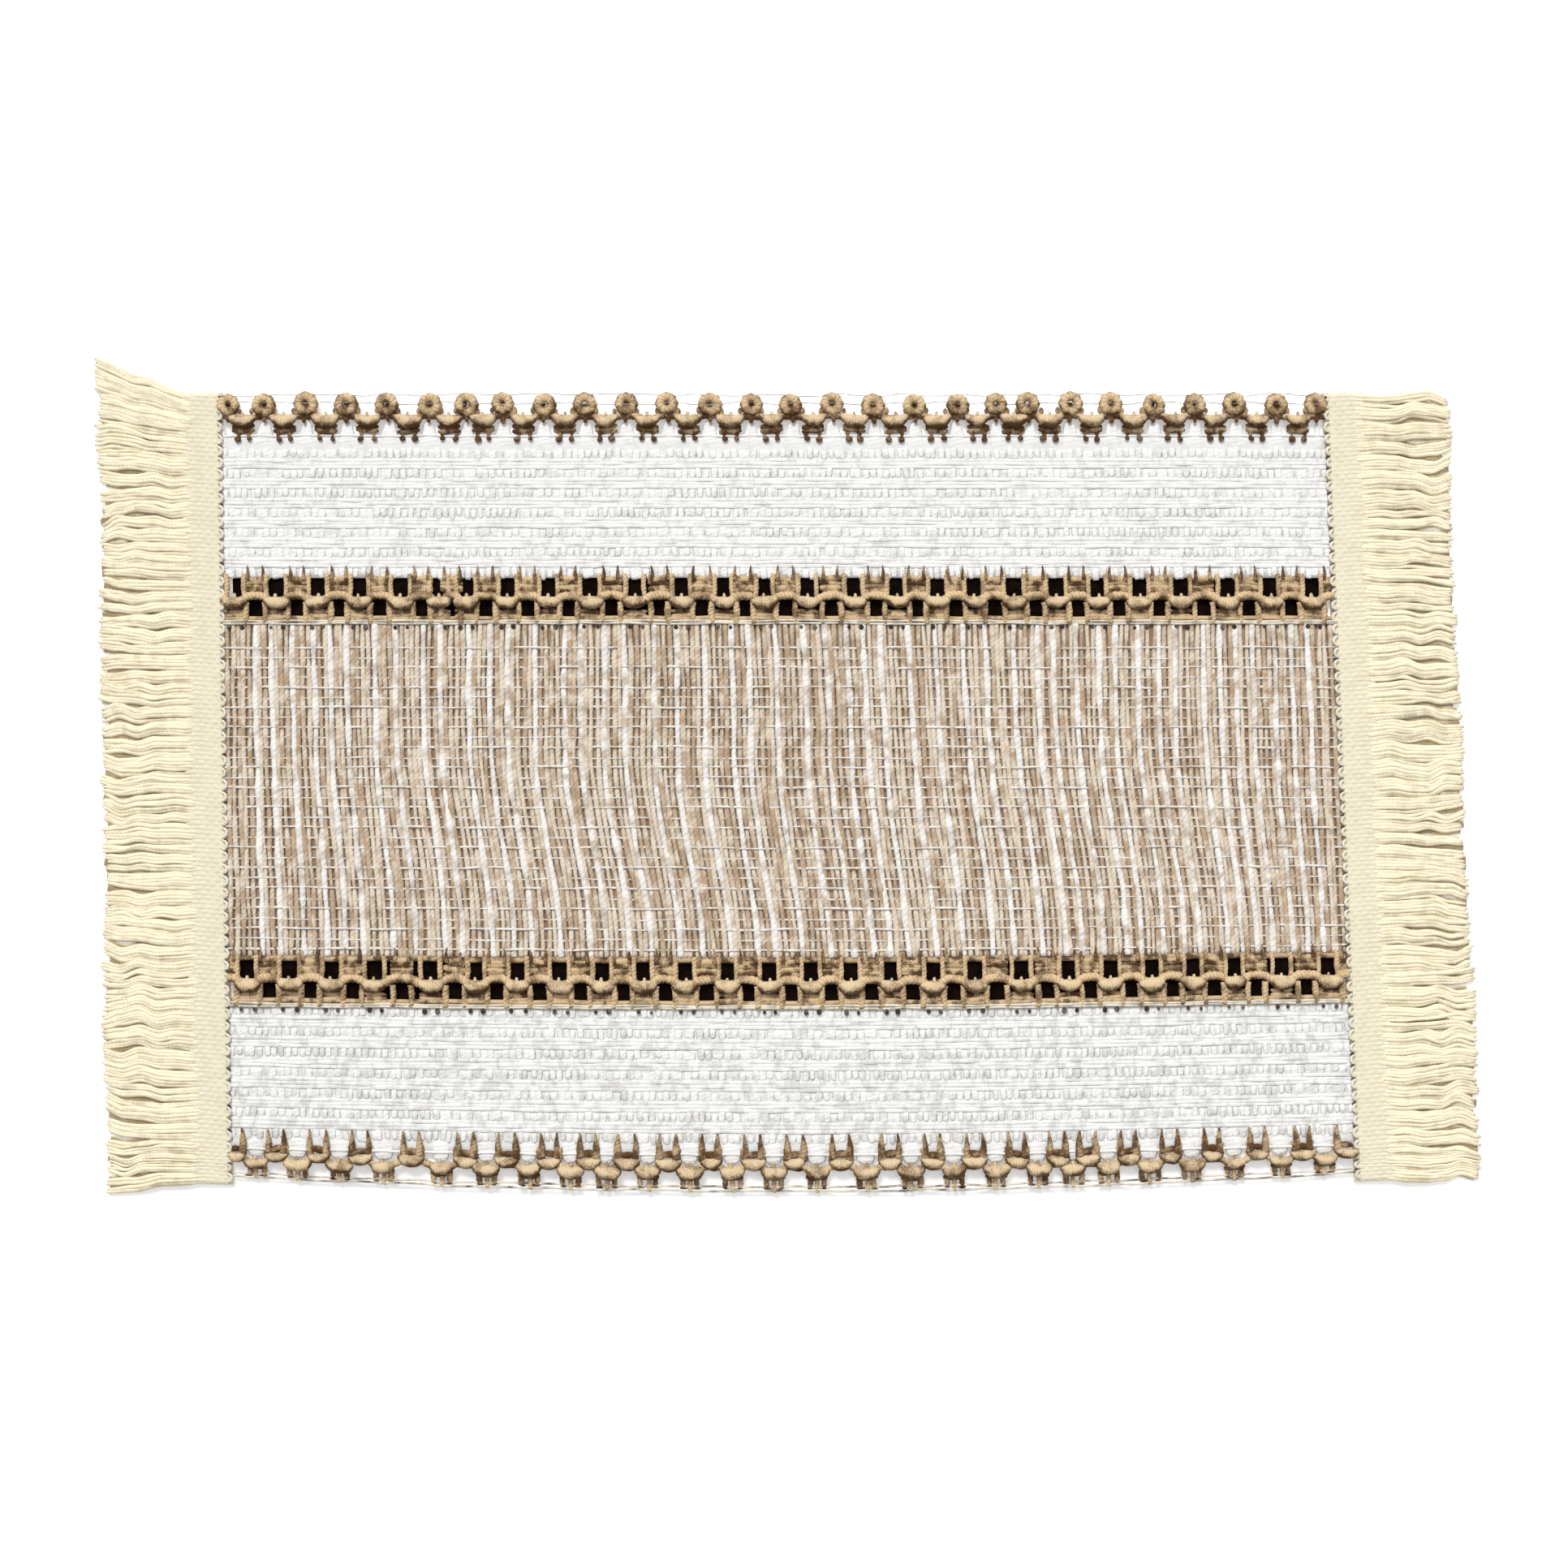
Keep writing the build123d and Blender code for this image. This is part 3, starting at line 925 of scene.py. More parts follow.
    def build(self, dresser: Dresser) -> bpy.types.Object:
        """Makes the ground cloth, the yarns, the stitch rows and the teeth.

        Args:
            dresser: finishes the pieces.

        Returns:
            The ground cloth, with the rest on it.
        """
        plan, side, tag = self.plan, self.row.value, self.row.tag
        rng = np.random.default_rng(23 + side)
        inner, outer = side * (plan.openwork_edge - self.turn_in), side * (plan.band_edge + self.hem)
        low = min(inner, side * plan.band_edge)
        x, y = grid(-plan.half_width, plan.half_width, min(inner, outer), max(inner, outer), 9.0, 5.0)
        ground_mesh = SoftMesh()
        ground_mesh.sheet(x, y, plan.cloth_bottom + 2.1, plan.cloth_bottom + 0.02, tone=0.86)
        ground = dresser.piece(ground_mesh, f"white_ground_{tag}", "white_ground", f"white_band_{tag}")
        yarns = SoftMesh()
        self.yarns(yarns, low, rng)
        self.teeth(yarns, rng)
        stitches = SoftMesh()
        self.stitches(stitches, low, rng)
        pieces = [dresser.piece(mesh, f"white_{name}_{tag}", "white_cotton")
                  for mesh, name in ((yarns, "yarns"), (stitches, "stitches"))]
        return ground


@dataclass(kw_only=True)
class LaceMesh(SoftMesh):
    """Gathers the yarn shapes that the openwork rows and the lace edges share."""

    plan: MatPlan
    rng: np.random.Generator
    cord_z: float = 4.6

    def each(self, places: Array, low: float, high: float) -> Array:
        """One random value for every place, as a column."""
        return self.rng.uniform(low, high, (len(places), 1))

    def noise(self, strands: int, count: int, knots: int) -> Array:
        """Smooth noise along each strand."""
        return soft_noise(self.rng, strands, count, knots)

    def fit(self, places: Array, half_length: float) -> tuple[Array, Array]:
        """Halves the shapes that would run past the ends of the body, and draws them in.

        Args:
            places: the middle of each shape along X.
            half_length: half its length.

        Returns:
            (n, 1) places and (n, 1) half lengths.
        """
        half_width = self.plan.half_width
        at_end = np.abs(places) > half_width - 0.75 * half_length
        inset = np.sign(places) * (half_width - half_length / 2 - 1)
        return np.where(at_end, inset, places)[:, None], np.where(at_end, half_length / 2, half_length)[:, None]

    def add_cord(self, drift: RowDrift, on_y: float, between_y: float, radius: float,
                 between_drop: float = 0.0) -> None:
        """Adds a twisted cord that swings between two lines, half a wave to each half repeat.

        The middle line is the mean of the two, plus half their gap times a squared-off cosine.

        Args:
            drift: how its row strays.
            on_y: where it lies on each repeat.
            between_y: where it lies between them.
            radius: the cord's radius.
            between_drop: how far it dips between repeats, which also deepens its painted shade there.
        """
        plan = self.plan
        x = np.linspace(-plan.half_width + 0.3, plan.half_width - 0.3, plan.repeats * 26)
        wave = np.tanh(1.8 * np.cos(2 * math.pi * drift.back(x) / plan.repeat)) / math.tanh(1.8)
        y = (on_y + between_y) / 2 + (on_y - between_y) / 2 * wave + 0.45 * self.noise(1, len(x), 60)
        z = self.cord_z + 0.25 * self.noise(1, len(x), 80) - between_drop * (1 - wave) / 2
        size = radius * (1 + 0.08 * self.noise(1, len(x), 90))
        angle = full_turn(12)
        # Painted shade on the cord's front side and where it dips between repeats, painted highlight on its top, and
        # random tone along it.
        painted_shading = 0.70 - 0.46 * np.clip(np.cos(angle), 0, 1) + 0.08 * np.sin(angle)
        painted_shading = painted_shading + 0.26 * self.noise(1, len(x), 170)[..., None] - 0.25 * between_drop * (1 - wave)[:, None] / 2
        self.tubes(line_paths(x, y, z), size, size * 0.92, tone=painted_shading, sides=12, plies=3, ply_depth=0.1,
                   ply_pitch=3.2)

    def add_knots(self, places: Array, y: float, half_length: float, radius: float, smile: float = 2.2,
                  rise: float = 0.9) -> None:
        """Adds puffed wraps, each a thick short tube that sags in the middle like a smile.

        Its path drops by smile times (1 - share squared), its radius swells as the root of
        (1 - share to the fourth), and painted shade darkens its front side, its underside and its ends.

        Args:
            places: the middle of each wrap along X.
            y: the middle of the wraps along Y.
            half_length: half the wrap's length.
            radius: its radius in the middle.
            smile: how far the middle sags.
            rise: how far the wraps lie above the cord.
        """
        share = np.linspace(-1, 1, 15)
        arch = 1 - share**2
        middle, half = self.fit(places, half_length)
        size = self.each(places, 0.9, 1.08)
        tilt = self.each(places, -0.9, 0.9)
        x = middle + self.each(places, -0.5, 0.5) + half * size * share
        path_y = y + smile / 2 - smile * arch * size + tilt * share + self.each(places, -0.5, 0.5)
        z = self.cord_z + rise + 0.6 * arch * size
        swell = np.sqrt(np.clip(1 - 0.9 * share**4, 0.05, 1)) * (0.72 + 0.28 * arch)
        swell = swell * size * (1 + 0.05 * self.noise(len(places), len(share), 6))
        angle = full_turn(12)
        # Painted shade on the wrap's front side and underside, deeper towards its ends, with random tone.
        painted_shading = 0.82 - 0.85 * np.clip(np.cos(angle) - 0.05, 0, 1) - 0.1 * np.clip(-np.sin(angle), 0, 1)
        tone = painted_shading + self.each(places, -0.12, 0.1)[..., None]
        tone = tone - 0.25 * (share**4)[:, None] + 0.14 * self.noise(len(places), len(share), 5)[..., None]
        self.tubes(line_paths(x, path_y, z), radius * swell, 0.82 * radius * swell, tone=tone, sides=12)

    def add_legs(self, places: Array, y_from: float, y_to: float, radius: float, z: float = 3.9,
                 tone: float = 0.55, taper: float = 0.0) -> None:
        """Adds twisted legs along Y, with slightly uneven lines, and none past the ends of the body.

        Args:
            places: each leg's place along X.
            y_from: where the legs start.
            y_to: where they end.
            radius: their radius.
            z: their height.
            tone: yarn tone.
            taper: how much of the radius is lost by the far end.
        """
        places = places[np.abs(places) < self.plan.half_width - radius]
        share = np.linspace(0, 1, 9)
        bend = self.each(places, -0.8, 0.8) * np.sin(math.pi * share)
        x = places[:, None] + bend + self.each(places, -0.4, 0.4)
        size = radius * (self.each(places, 0.85, 1.12) * (1 - taper * share**1.5))
        tones = tone + self.each(places, -0.14, 0.12)[..., None]
        self.tubes(line_paths(x, y_from + (y_to - y_from) * share, z), size, tone=tones, plies=2,
                   ply_depth=0.1, ply_pitch=2.6)

    def add_bars(self, places: Array, y: float, half_length: float, radius: float, z: float = 3.0,
                 tone: float = 0.5) -> None:
        """Adds short rounded bars along X.

        Args:
            places: the middle of each bar.
            y: their place along Y.
            half_length: half their length.
            radius: their radius.
            z: their height.
            tone: yarn tone, low where a bar is painted shade.
        """
        share = np.linspace(-1, 1, 7)
        middle, half = self.fit(places, half_length)
        tilt = self.each(places, -0.7, 0.7) * share
        path_y = y + self.each(places, -0.4, 0.4) + 0.5 * self.noise(len(places), len(share), 3) + tilt
        size = radius * (np.sqrt(1 - 0.8 * share**4) * self.each(places, 0.85, 1.15))
        blotch = 0.18 * self.noise(len(places), len(share), 4)[..., None]
        tones = tone + self.each(places, -0.1, 0.1)[..., None] + blotch
        self.tubes(line_paths(middle + half * share, path_y, z), size, tone=tones, plies=2, ply_depth=0.1,
                   ply_pitch=2.4)

    def add_dots(self, places: Array, y: float, z: float = 5.0, half_size: tuple[float, float] = (1.3, 1.5),
                 tone: float = 0.05) -> None:
        """Adds low dark beads of painted shade, for the small holes and gaps where yarn dives into the cloth or parts
        meet.

        Args:
            places: each bead's place along X.
            y: their place along Y.
            z: their height.
            half_size: half the bead's width and length.
            tone: the bead's tone, low for deep painted shade.
        """
        half_wide, half_long = half_size
        places = places[np.abs(places) < self.plan.half_width - half_wide]
        share = np.linspace(-1, 1, 5)
        size = self.each(places, 0.7, 1.15)
        dome = np.sqrt(1 - 0.9 * share**2) * size
        x = places[:, None] + self.each(places, -0.7, 0.7)
        path_y = y + self.each(places, -0.5, 0.5) + half_long * size * share
        self.tubes(line_paths(x, path_y, z), half_wide * dome, 0.6 * dome, tone=tone)


def beside(places: Array, offset: float) -> Array:
    """Two places for each one given, offset to its left and right."""
    return np.concatenate((places - offset, places + offset))


@dataclass
class LaceRow:
    """What the openwork rows and the lace edges share: the plan, the side of the mat and the drift."""

    plan: MatPlan
    row: Row
    drift: RowDrift

    def mesh(self, rng: np.random.Generator) -> LaceMesh:
        """An empty mesh for one of the row's pieces."""
        return LaceMesh(plan=self.plan, rng=rng)

    def finish(self, dresser: Dresser, mesh: LaceMesh, name: str, finish: str, node: str) -> None:
        """Finishes one piece; the row's tag goes after its name and the name of the CAD node it stands for."""
        dresser.piece(mesh, f"{name}_{self.row.tag}", finish, f"{node}_{self.row.tag}")


@dataclass
class OpenworkRow(LaceRow):
    """Two staggered lines of square holes either side of a wavy cord, with knots under the upper holes."""

    upper_half: float = 4.3
    lower_half: float = 3.8
    upper_leg: float = 1.6
    lower_leg: float = 2.0
    rise: float = 2.1
    dip: float = 1.5

    def build(self, dresser: Dresser) -> None:
        """Makes the cord, the knots, the legs, the fill and the binding thread.

        Args:
            dresser: finishes the pieces.
        """
        plan, rng, rear = self.plan, np.random.default_rng(31 + self.row.value), self.row is Row.REAR
        middle = self.row.value * (plan.centre_edge + plan.openwork_edge) / 2
        half = (plan.openwork_edge - plan.centre_edge) / 2
        low, high = middle - half, middle + half
        crest, trough = middle + self.rise, middle - self.dip
        upper, lower = (self.drift.between, self.drift.on_repeat)[:: 1 if rear else -1]
        on_y, between_y = (crest, trough)[:: 1 if rear else -1]
        upper_offset, lower_offset = self.upper_half + self.upper_leg, self.lower_half + self.lower_leg

        cord = self.mesh(rng)
        cord.add_cord(self.drift, on_y, between_y, 2.7)
        self.finish(dresser, cord, "openwork_cord_yarn", "cord_brown", "openwork_cord")

        knots = self.mesh(rng)
        knots.add_knots(upper, trough - 0.2, 7.8, 4.0)
        knots.add_legs(upper, trough + 2.0, trough + 4.6, 1.3, z=knots.cord_z + 1.9, tone=0.9, taper=0.5)
        self.finish(dresser, knots, "openwork_knot_wraps", "knot_brown", "openwork_knots")

        legs = self.mesh(rng)
        legs.add_legs(beside(upper, upper_offset), middle + 1.5, high + 0.8, self.upper_leg, tone=0.78)
        legs.add_legs(beside(lower, lower_offset), middle - 2.0, low - 0.6, self.lower_leg, tone=0.62)
        legs.add_legs(beside(lower, 4.6), high - 3.0, high + 6.0, 1.35, z=plan.cloth_top - 0.5, tone=0.34,
                      taper=0.75)
        self.finish(dresser, legs, "openwork_legs", "cord_brown", "openwork_posts")

        fill = self.mesh(rng)
        for drop, tone in ((2.4, 0.70), (4.9, 0.36), (7.4, 0.62), (9.6, 0.40)):
            fill.add_bars(lower, high - drop, plan.repeat / 2 - upper_offset, 1.9, z=3.1, tone=tone)
        # The darker second bar, just in front of each knot, is painted shade under it.
        for lift, tone in ((4.4, 0.74), (7.2, 0.40)):
            fill.add_bars(upper, low + lift, plan.repeat / 2 - lower_offset, 1.8, z=3.1, tone=tone)
        x = np.linspace(-plan.half_width + 0.5, plan.half_width - 0.5, 200)
        if not rear:
            top_y = high - 1.0 + 0.5 * fill.noise(1, len(x), 60)
            fill.tubes(line_paths(x, top_y, 3.2), 1.9, 1.3, tone=0.45, sides=6)
        seam_y = low + 2.9 + 0.4 * fill.noise(1, len(x), 50)
        seam_tone = 0.75 + 0.3 * fill.noise(1, len(x), 90)[..., None]
        fill.tubes(line_paths(x, seam_y, 3.5), 1.5, 1.2, tone=seam_tone, sides=6)
        self.finish(dresser, fill, "openwork_fill", "fill_brown", "openwork_webs")

        thread = self.mesh(rng)
        thread_z = plan.cloth_top - 0.35
        for shift in (0.0, -1.5):
            y = low + 1.1 + shift + 0.4 * thread.noise(1, len(x), 50)
            size = 0.72 + 0.2 * thread.noise(1, len(x), 80)
            height = thread_z + 0.35 * thread.noise(1, len(x), 70)
            thread.tubes(line_paths(x, y, height), size, 0.6, tone=0.8, sides=6)
        # Dark beads of painted shade in the small holes where yarn dives into the cloth.
        thread.add_dots(beside(upper, 3.9), low - 2.6, z=thread_z, half_size=(1.5, 1.6))
        self.finish(dresser, thread, "binding_yarn", "cream_thread", "binding_thread")


@dataclass
class RearLaceEdge(LaceRow):
    """Rings along the rear edge over a cord, with a legged knot between each two."""

    ring_radius: float = 4.5
    ring_yarn: float = 3.0
    ring_inset: float = 7.9
    knot_inset: float = 17.4

    def build(self, dresser: Dresser) -> None:
        """Makes the cord, rings, knots, legs and edge threads.

        Args:
            dresser: finishes the pieces.
        """
        plan, rng, on_repeat = self.plan, np.random.default_rng(41), self.drift.on_repeat
        edge = plan.body_edge
        knot_y, ring_y = edge - self.knot_inset, edge - self.ring_inset
        cord = self.mesh(rng)
        cord.add_cord(self.drift, knot_y + 0.8, edge - 15.0, 2.1, between_drop=1.6)
        self.finish(dresser, cord, "edge_cord_yarn", "cord_brown", "edge_cord")

        rings, cord_z = self.mesh(rng), cord.cord_z
        angle, around = full_turn(28), full_turn(10)
        inner = plan.half_width - self.ring_radius - 1.5
        places = np.clip(self.drift.between, -inner, inner)
        size = rings.each(places, 0.9, 1.06)
        x = places[:, None] + rings.each(places, -0.8, 0.8) + self.ring_radius * size * np.cos(angle)
        y = ring_y + rings.each(places, -0.7, 0.7) + self.ring_radius * size * np.sin(angle)
        # Painted highlight on each ring's rear side, painted shade on the flanks of its yarn, and random tone.
        painted_shading = 0.76 + 0.16 * np.sin(angle)[:, None] - 0.42 * np.cos(around) ** 2
        painted_shading = painted_shading + rings.each(places, -0.1, 0.08)[..., None]
        painted_shading = painted_shading + 0.16 * rings.noise(len(places), len(angle), 6)[..., None]
        rings.tubes(line_paths(x, y, cord_z - 0.1), self.ring_yarn, self.ring_yarn * 0.9, tone=painted_shading, sides=10,
                    plies=2, ply_depth=0.12, ply_pitch=3.0, closed=True)
        # Dark beads of painted shade: in each ring's hole, and in the gaps between the rings, the knots and the cord.
        for dots, dot_y, z, half_size, tone in (
            (places, ring_y, 3.4, (2.2, 2.2), 0.05),
            (places, edge - 17.6, cord_z + 0.6, (1.7, 2.3), 0.05),
            (beside(places, 3.2), edge - 15.6, cord_z + 0.2, (2.0, 1.5), 0.05),
            (beside(places, 7.0), edge - 12.0, cord_z - 0.4, (1.7, 2.4), 0.42),
        ):
            rings.add_dots(dots, dot_y, z=z, half_size=half_size, tone=tone)
        self.finish(dresser, rings, "edge_ring_yarns", "cord_brown", "edge_rings")

        knots = self.mesh(rng)
        knots.add_knots(on_repeat, knot_y, 8.2, 3.8, smile=3.4)
        # The first bar, near black, is painted shade under each knot.
        for shift, tone, reach in ((-4.4, 0.04, 7.0), (-7.0, 0.22, 7.1)):
            knots.add_bars(on_repeat, knot_y + shift, reach, 1.9, z=3.9, tone=tone)
        knots.add_legs(on_repeat, knot_y + 1.4, knot_y + 4.4, 1.3, z=cord_z + 1.6, tone=0.86, taper=0.5)
        self.finish(dresser, knots, "edge_knot_wraps", "knot_brown", "edge_knots")

        legs = self.mesh(rng)
        legs.add_legs(beside(on_repeat, 3.7), plan.band_edge + 4.0, knot_y - 6.5, 1.5, z=3.0, tone=0.2)
        # Dark beads of painted shade in the holes where the legs dive into the cloth.
        legs.add_dots(beside(on_repeat, 3.9), plan.band_edge + 4.2, z=plan.cloth_top - 0.5, half_size=(2.0, 1.8))
        self.finish(dresser, legs, "edge_legs", "cord_brown", "edge_posts")

        threads = self.mesh(rng)
        x = np.linspace(-plan.half_width, plan.half_width, 220)
        for y, wave in ((edge - 2.2, 0.9), (edge - 7.4, 1.1)):
            wander = wave * threads.noise(1, len(x), 54)
            threads.tubes(line_paths(x, y + wander, cord_z + 1.0), 0.25, sides=5)
        self.finish(dresser, threads, "edge_fine_threads", "cream_thread", "edge_threads")


@dataclass
class FrontLaceEdge(LaceRow):
    """Horned knots along the front edge, lower knots between them, stems and a dashed edge thread."""

    horn_inset: float = 23.2
    drop_inset: float = 18.0

    def build(self, dresser: Dresser) -> None:
        """Makes the cord, both rows of knots, horns, legs, stems and the edge thread.

        Args:
            dresser: finishes the pieces.
        """
        plan, rng, edge = self.plan, np.random.default_rng(43), -self.plan.body_edge
        on_repeat, between = self.drift.on_repeat, self.drift.between
        horn_y, drop_y = edge + self.horn_inset, edge + self.drop_inset
        cord = self.mesh(rng)
        cord.add_cord(self.drift, drop_y + 0.4, horn_y - 1.4, 2.3)
        self.finish(dresser, cord, "edge_cord_yarn", "cord_brown", "edge_cord")

        knots = self.mesh(rng)
        knots.add_knots(between, horn_y, 7.4, 3.7, smile=3.2)
        self.finish(dresser, knots, "edge_knot_wraps", "knot_brown", "edge_knots")
        drops = self.mesh(rng)
        drops.add_knots(on_repeat, drop_y, 7.9, 4.1, smile=3.2)
        drops.add_legs(on_repeat, drop_y + 1.0, drop_y + 5.6, 1.4, z=cord.cord_z + 1.5, tone=0.72, taper=0.6)
        self.finish(dresser, drops, "edge_drop_wraps", "knot_brown", "edge_drops")

        horns = self.mesh(rng)
        horns.add_legs(beside(between, 4.9), horn_y + 1.0, horn_y + 17.0, 2.5, z=plan.cloth_top - 0.1,
                       tone=0.34, taper=0.74)
        self.finish(dresser, horns, "edge_horn_yarns", "cord_brown", "edge_horns")

        legs = self.mesh(rng)
        legs.add_legs(beside(between, 5.4), horn_y, horn_y + 8.0, 2.1, z=3.6, tone=0.5)
        legs.add_bars(between, horn_y + 4.4, 5.0, 2.1, z=3.9, tone=0.12)
        # This bar, near black and just in front of each knot, is painted shade under it.
        legs.add_bars(between, horn_y - 3.4, 5.4, 1.5, z=3.4, tone=0.1)
        self.finish(dresser, legs, "edge_legs", "cord_brown", "edge_posts")

        stems = self.mesh(rng)
        # The near-black bar just in front of each lower knot is painted shade under it.
        stems.add_bars(on_repeat, drop_y - 3.8, 6.8, 2.0, z=3.2, tone=0.1)
        stems.add_legs(on_repeat, drop_y - 3.0, edge + 5.2, 1.5, z=2.9, tone=0.9)
        stems.add_legs(beside(on_repeat, 4.6), drop_y - 2.6, edge + 7.6, 1.8, z=2.7, tone=0.36)
        self.finish(dresser, stems, "edge_stem_yarns", "cord_brown", "edge_stems")

        thread = self.mesh(rng)
        x = np.linspace(-plan.half_width, plan.half_width, 240)
        for y, wave in ((edge + 6.2, 0.5), (edge + 8.6, 0.6)):
            wander = wave * thread.noise(1, len(x), 54)
            tone = 0.72 + 0.4 * thread.noise(1, len(x), 110)[..., None]
            thread.tubes(line_paths(x, y + wander, 3.3), 0.7, 0.6, tone=tone, sides=6)
        # Dark beads of painted shade in the gaps where the stems meet the thread.
        thread.add_dots(beside(on_repeat, 4.2), edge + 7.4, z=3.0, half_size=(2.2, 0.8))
        self.finish(dresser, thread, "edge_dashed_thread", "cream_thread", "edge_thread")


@dataclass(frozen=True)
class Clumps:
    """Bunches of fringe strands: where each lies along Y, and how it sways, narrows and reaches."""

    edges: Array
    sways: Array
    narrowing: Array
    reaches: Array

    @property
    def middles(self) -> Array:
        """The middle of every clump."""
        return (self.edges[1:] + self.edges[:-1]) / 2

    def find(self, root: Array) -> tuple[Array, Array, Array]:
        """Finds the clumps that strands belong to.

        Args:
            root: each strand's place along Y.

        Returns:
            The number of each strand's clump, then the half width of that clump and the strand's place in
            it, from -1 to 1, as columns.
        """
        clump = np.clip(np.searchsorted(self.edges, root) - 1, 0, len(self.reaches) - 1)
        half = np.diff(self.edges)[clump] / 2
        return clump, half[:, None], ((root - self.middles[clump]) / half)[:, None]


@dataclass
class FringedEnd:
    """One end of the mat: the heading tape, its seam and the cut strands."""

    plan: MatPlan
    end: End
    strand_pitch: float = 2.0
    under_pitch: float = 4.0
    clump_widths: tuple[float, float] = (5.5, 13.0)
    seam_pitch: float = 7.5
    loop_radius: float = 2.6
    corner_strands: int = 26
    stray_share: float = 0.09
    sway: float = 6.0
    points_along: int = 24

    def tape(self, dresser: Dresser) -> bpy.types.Object:
        """Makes the tape: a narrow cloth whose cross ribs grow towards the strands, with rounded edges.

        Args:
            dresser: finishes the piece.

        Returns:
            The tape.
        """
        plan, side = self.plan, self.end.value
        inner, outer = plan.half_width - 1.5, plan.tape_edge
        x, y = grid(inner, outer, -plan.body_edge, plan.body_edge, 0.9, 0.55)
        share = (x - inner) / (outer - inner)
        ends = np.clip((plan.body_edge - abs(y)) / 2.0, 0, 1)
        rounded = np.sqrt(np.clip(1 - (1 - share) ** 8, 0, 1)) * (0.5 + 0.5 * ends)
        ribs = np.abs(np.sin(math.pi * y / 2.9 + 0.5 * np.sin(x / 5.0)))
        basket = np.sin(2 * math.pi * y / 5.8) * np.sin(2 * math.pi * share * 4.5)
        top = 1.9 + 1.9 * rounded + 0.55 * ribs * (0.35 + 0.65 * share**2) + 0.16 * basket
        bottom = np.full_like(top, 0.5)
        # The tone follows the relief: painted shade in the hollows between the ribs and painted highlight on their
        # crests.
        tone = 0.72 + 0.24 * ribs + 0.08 * basket
        if side < 0:
            x, y, top, bottom, tone = -x[:, ::-1], y, top[:, ::-1], bottom, tone[:, ::-1]
        mesh = SoftMesh()
        mesh.sheet(x, y, top, bottom, tone=tone)
        return dresser.piece(mesh, f"heading_cloth_{self.end.tag}", "cream_tape", f"heading_tape_{self.end.tag}")

    def seam(self, dresser: Dresser, rng: np.random.Generator) -> bpy.types.Object:
        """Makes the small loops along the tape's inner edge and a short dark mark between each two.

        Args:
            dresser: finishes the piece.
            rng: the source of randomness.

        Returns:
            The seam.
        """
        plan, side = self.plan, self.end.value
        places = np.arange(-plan.body_edge + 5, plan.body_edge - 4, self.seam_pitch)
        turn = np.linspace(-0.5 * math.pi, 0.5 * math.pi, 9)
        size = self.loop_radius * rng.uniform(0.85, 1.15, (len(places), 1))
        x = side * (plan.half_width + 1.6 - size * np.cos(turn))
        y = places[:, None] + size * np.sin(turn)
        z = 4.0 + 0.9 * np.cos(turn)
        mesh = SoftMesh()
        mesh.tubes(line_paths(x, y, z), 0.95, 0.75, tone=0.95, sides=6)
        dark = places + self.seam_pitch / 2
        step = np.linspace(-1, 1, 4)
        dark_x = side * (plan.half_width - 0.4 + 1.1 * step)
        dark_y = dark[:, None] + rng.uniform(-0.8, 0.8, (len(dark), 1)) + 0.5 * step
        shown = rng.random(len(dark)) < 0.75
        mesh.tubes(line_paths(dark_x, dark_y, 4.6)[shown], 0.6, 0.5, tone=0.2, sides=6)
        return dresser.piece(mesh, f"seam_yarns_{self.end.tag}", "cream_thread",
                             f"seam_stitches_{self.end.tag}")

    def clumps(self, share: Array, rng: np.random.Generator) -> Clumps:
        """Divides the end into clumps of random width, each with its own sway, narrowing and reach.

        Args:
            share: the share of the way along a strand.
            rng: the source of randomness.

        Returns:
            The clumps.
        """
        edge = self.plan.body_edge
        widths = rng.uniform(*self.clump_widths, int(2 * edge / np.mean(self.clump_widths)))
        edges = np.concatenate(([0.0], np.cumsum(widths)))
        edges = edges / edges[-1] * (2 * edge - 2) - edge + 1
        sways = soft_noise(rng, len(widths), len(share), 5)
        sways = self.sway * (np.roll(sways, 1, axis=0) + 2 * sways + np.roll(sways, -1, axis=0)) / 4
        pinches = rng.uniform(0.02, 0.36, (len(widths), 1))
        onset = rng.uniform(0.0, 0.55, (len(widths), 1))
        reaches = rng.uniform(-1.6, 1.2, len(widths)) + np.sin((edges[1:] + edges[:-1]) / 62)
        gather = np.clip((share - onset) / (1 - onset), 0, 1)
        return Clumps(edges, sways * share**0.8, 1 - pinches * gather * (2 - gather), reaches)

    def strands(self, mesh: SoftMesh, share: Array, clumps: Clumps, rng: np.random.Generator) -> None:
        """Adds the strands, gathered into clumps that sway together.

        A strand keeps its place across its clump, which narrows towards the cut end, and lies highest in the
        clump's middle, by the ridge times (1 - place squared). Near the corners of the mat it splays outwards.

        Args:
            mesh: gathers the surfaces.
            share: the share of the way along a strand.
            clumps: the clumps that the strands lie in.
            rng: the source of randomness.
        """
        plan, edge, count = self.plan, self.plan.body_edge, len(share)
        root = np.arange(-edge + 1.6, edge - 1.4, self.strand_pitch)
        root = root + rng.uniform(-0.5, 0.5, len(root))
        if self.end is End.LEFT:
            root = np.concatenate((root, rng.uniform(edge - 24, edge - 2, self.corner_strands)))
        clump, half, place = clumps.find(root)
        stray = np.where(rng.random(len(root)) < self.stray_share, rng.uniform(-5, 5, len(root)), 0)[:, None]
        own = 0.7 * soft_noise(rng, len(root), count, 6) * share
        y = clumps.middles[clump][:, None] + place * half * clumps.narrowing[clump] + clumps.sways[clump] + own
        y = y + stray * share**2 + self.splay(root, share, rng)
        reach = plan.fringe_edge - plan.tape_edge + clumps.reaches[clump] + rng.uniform(-1.3, 0.9, len(root))
        start = rng.uniform(-7.5, -3.5, (len(root), 1))
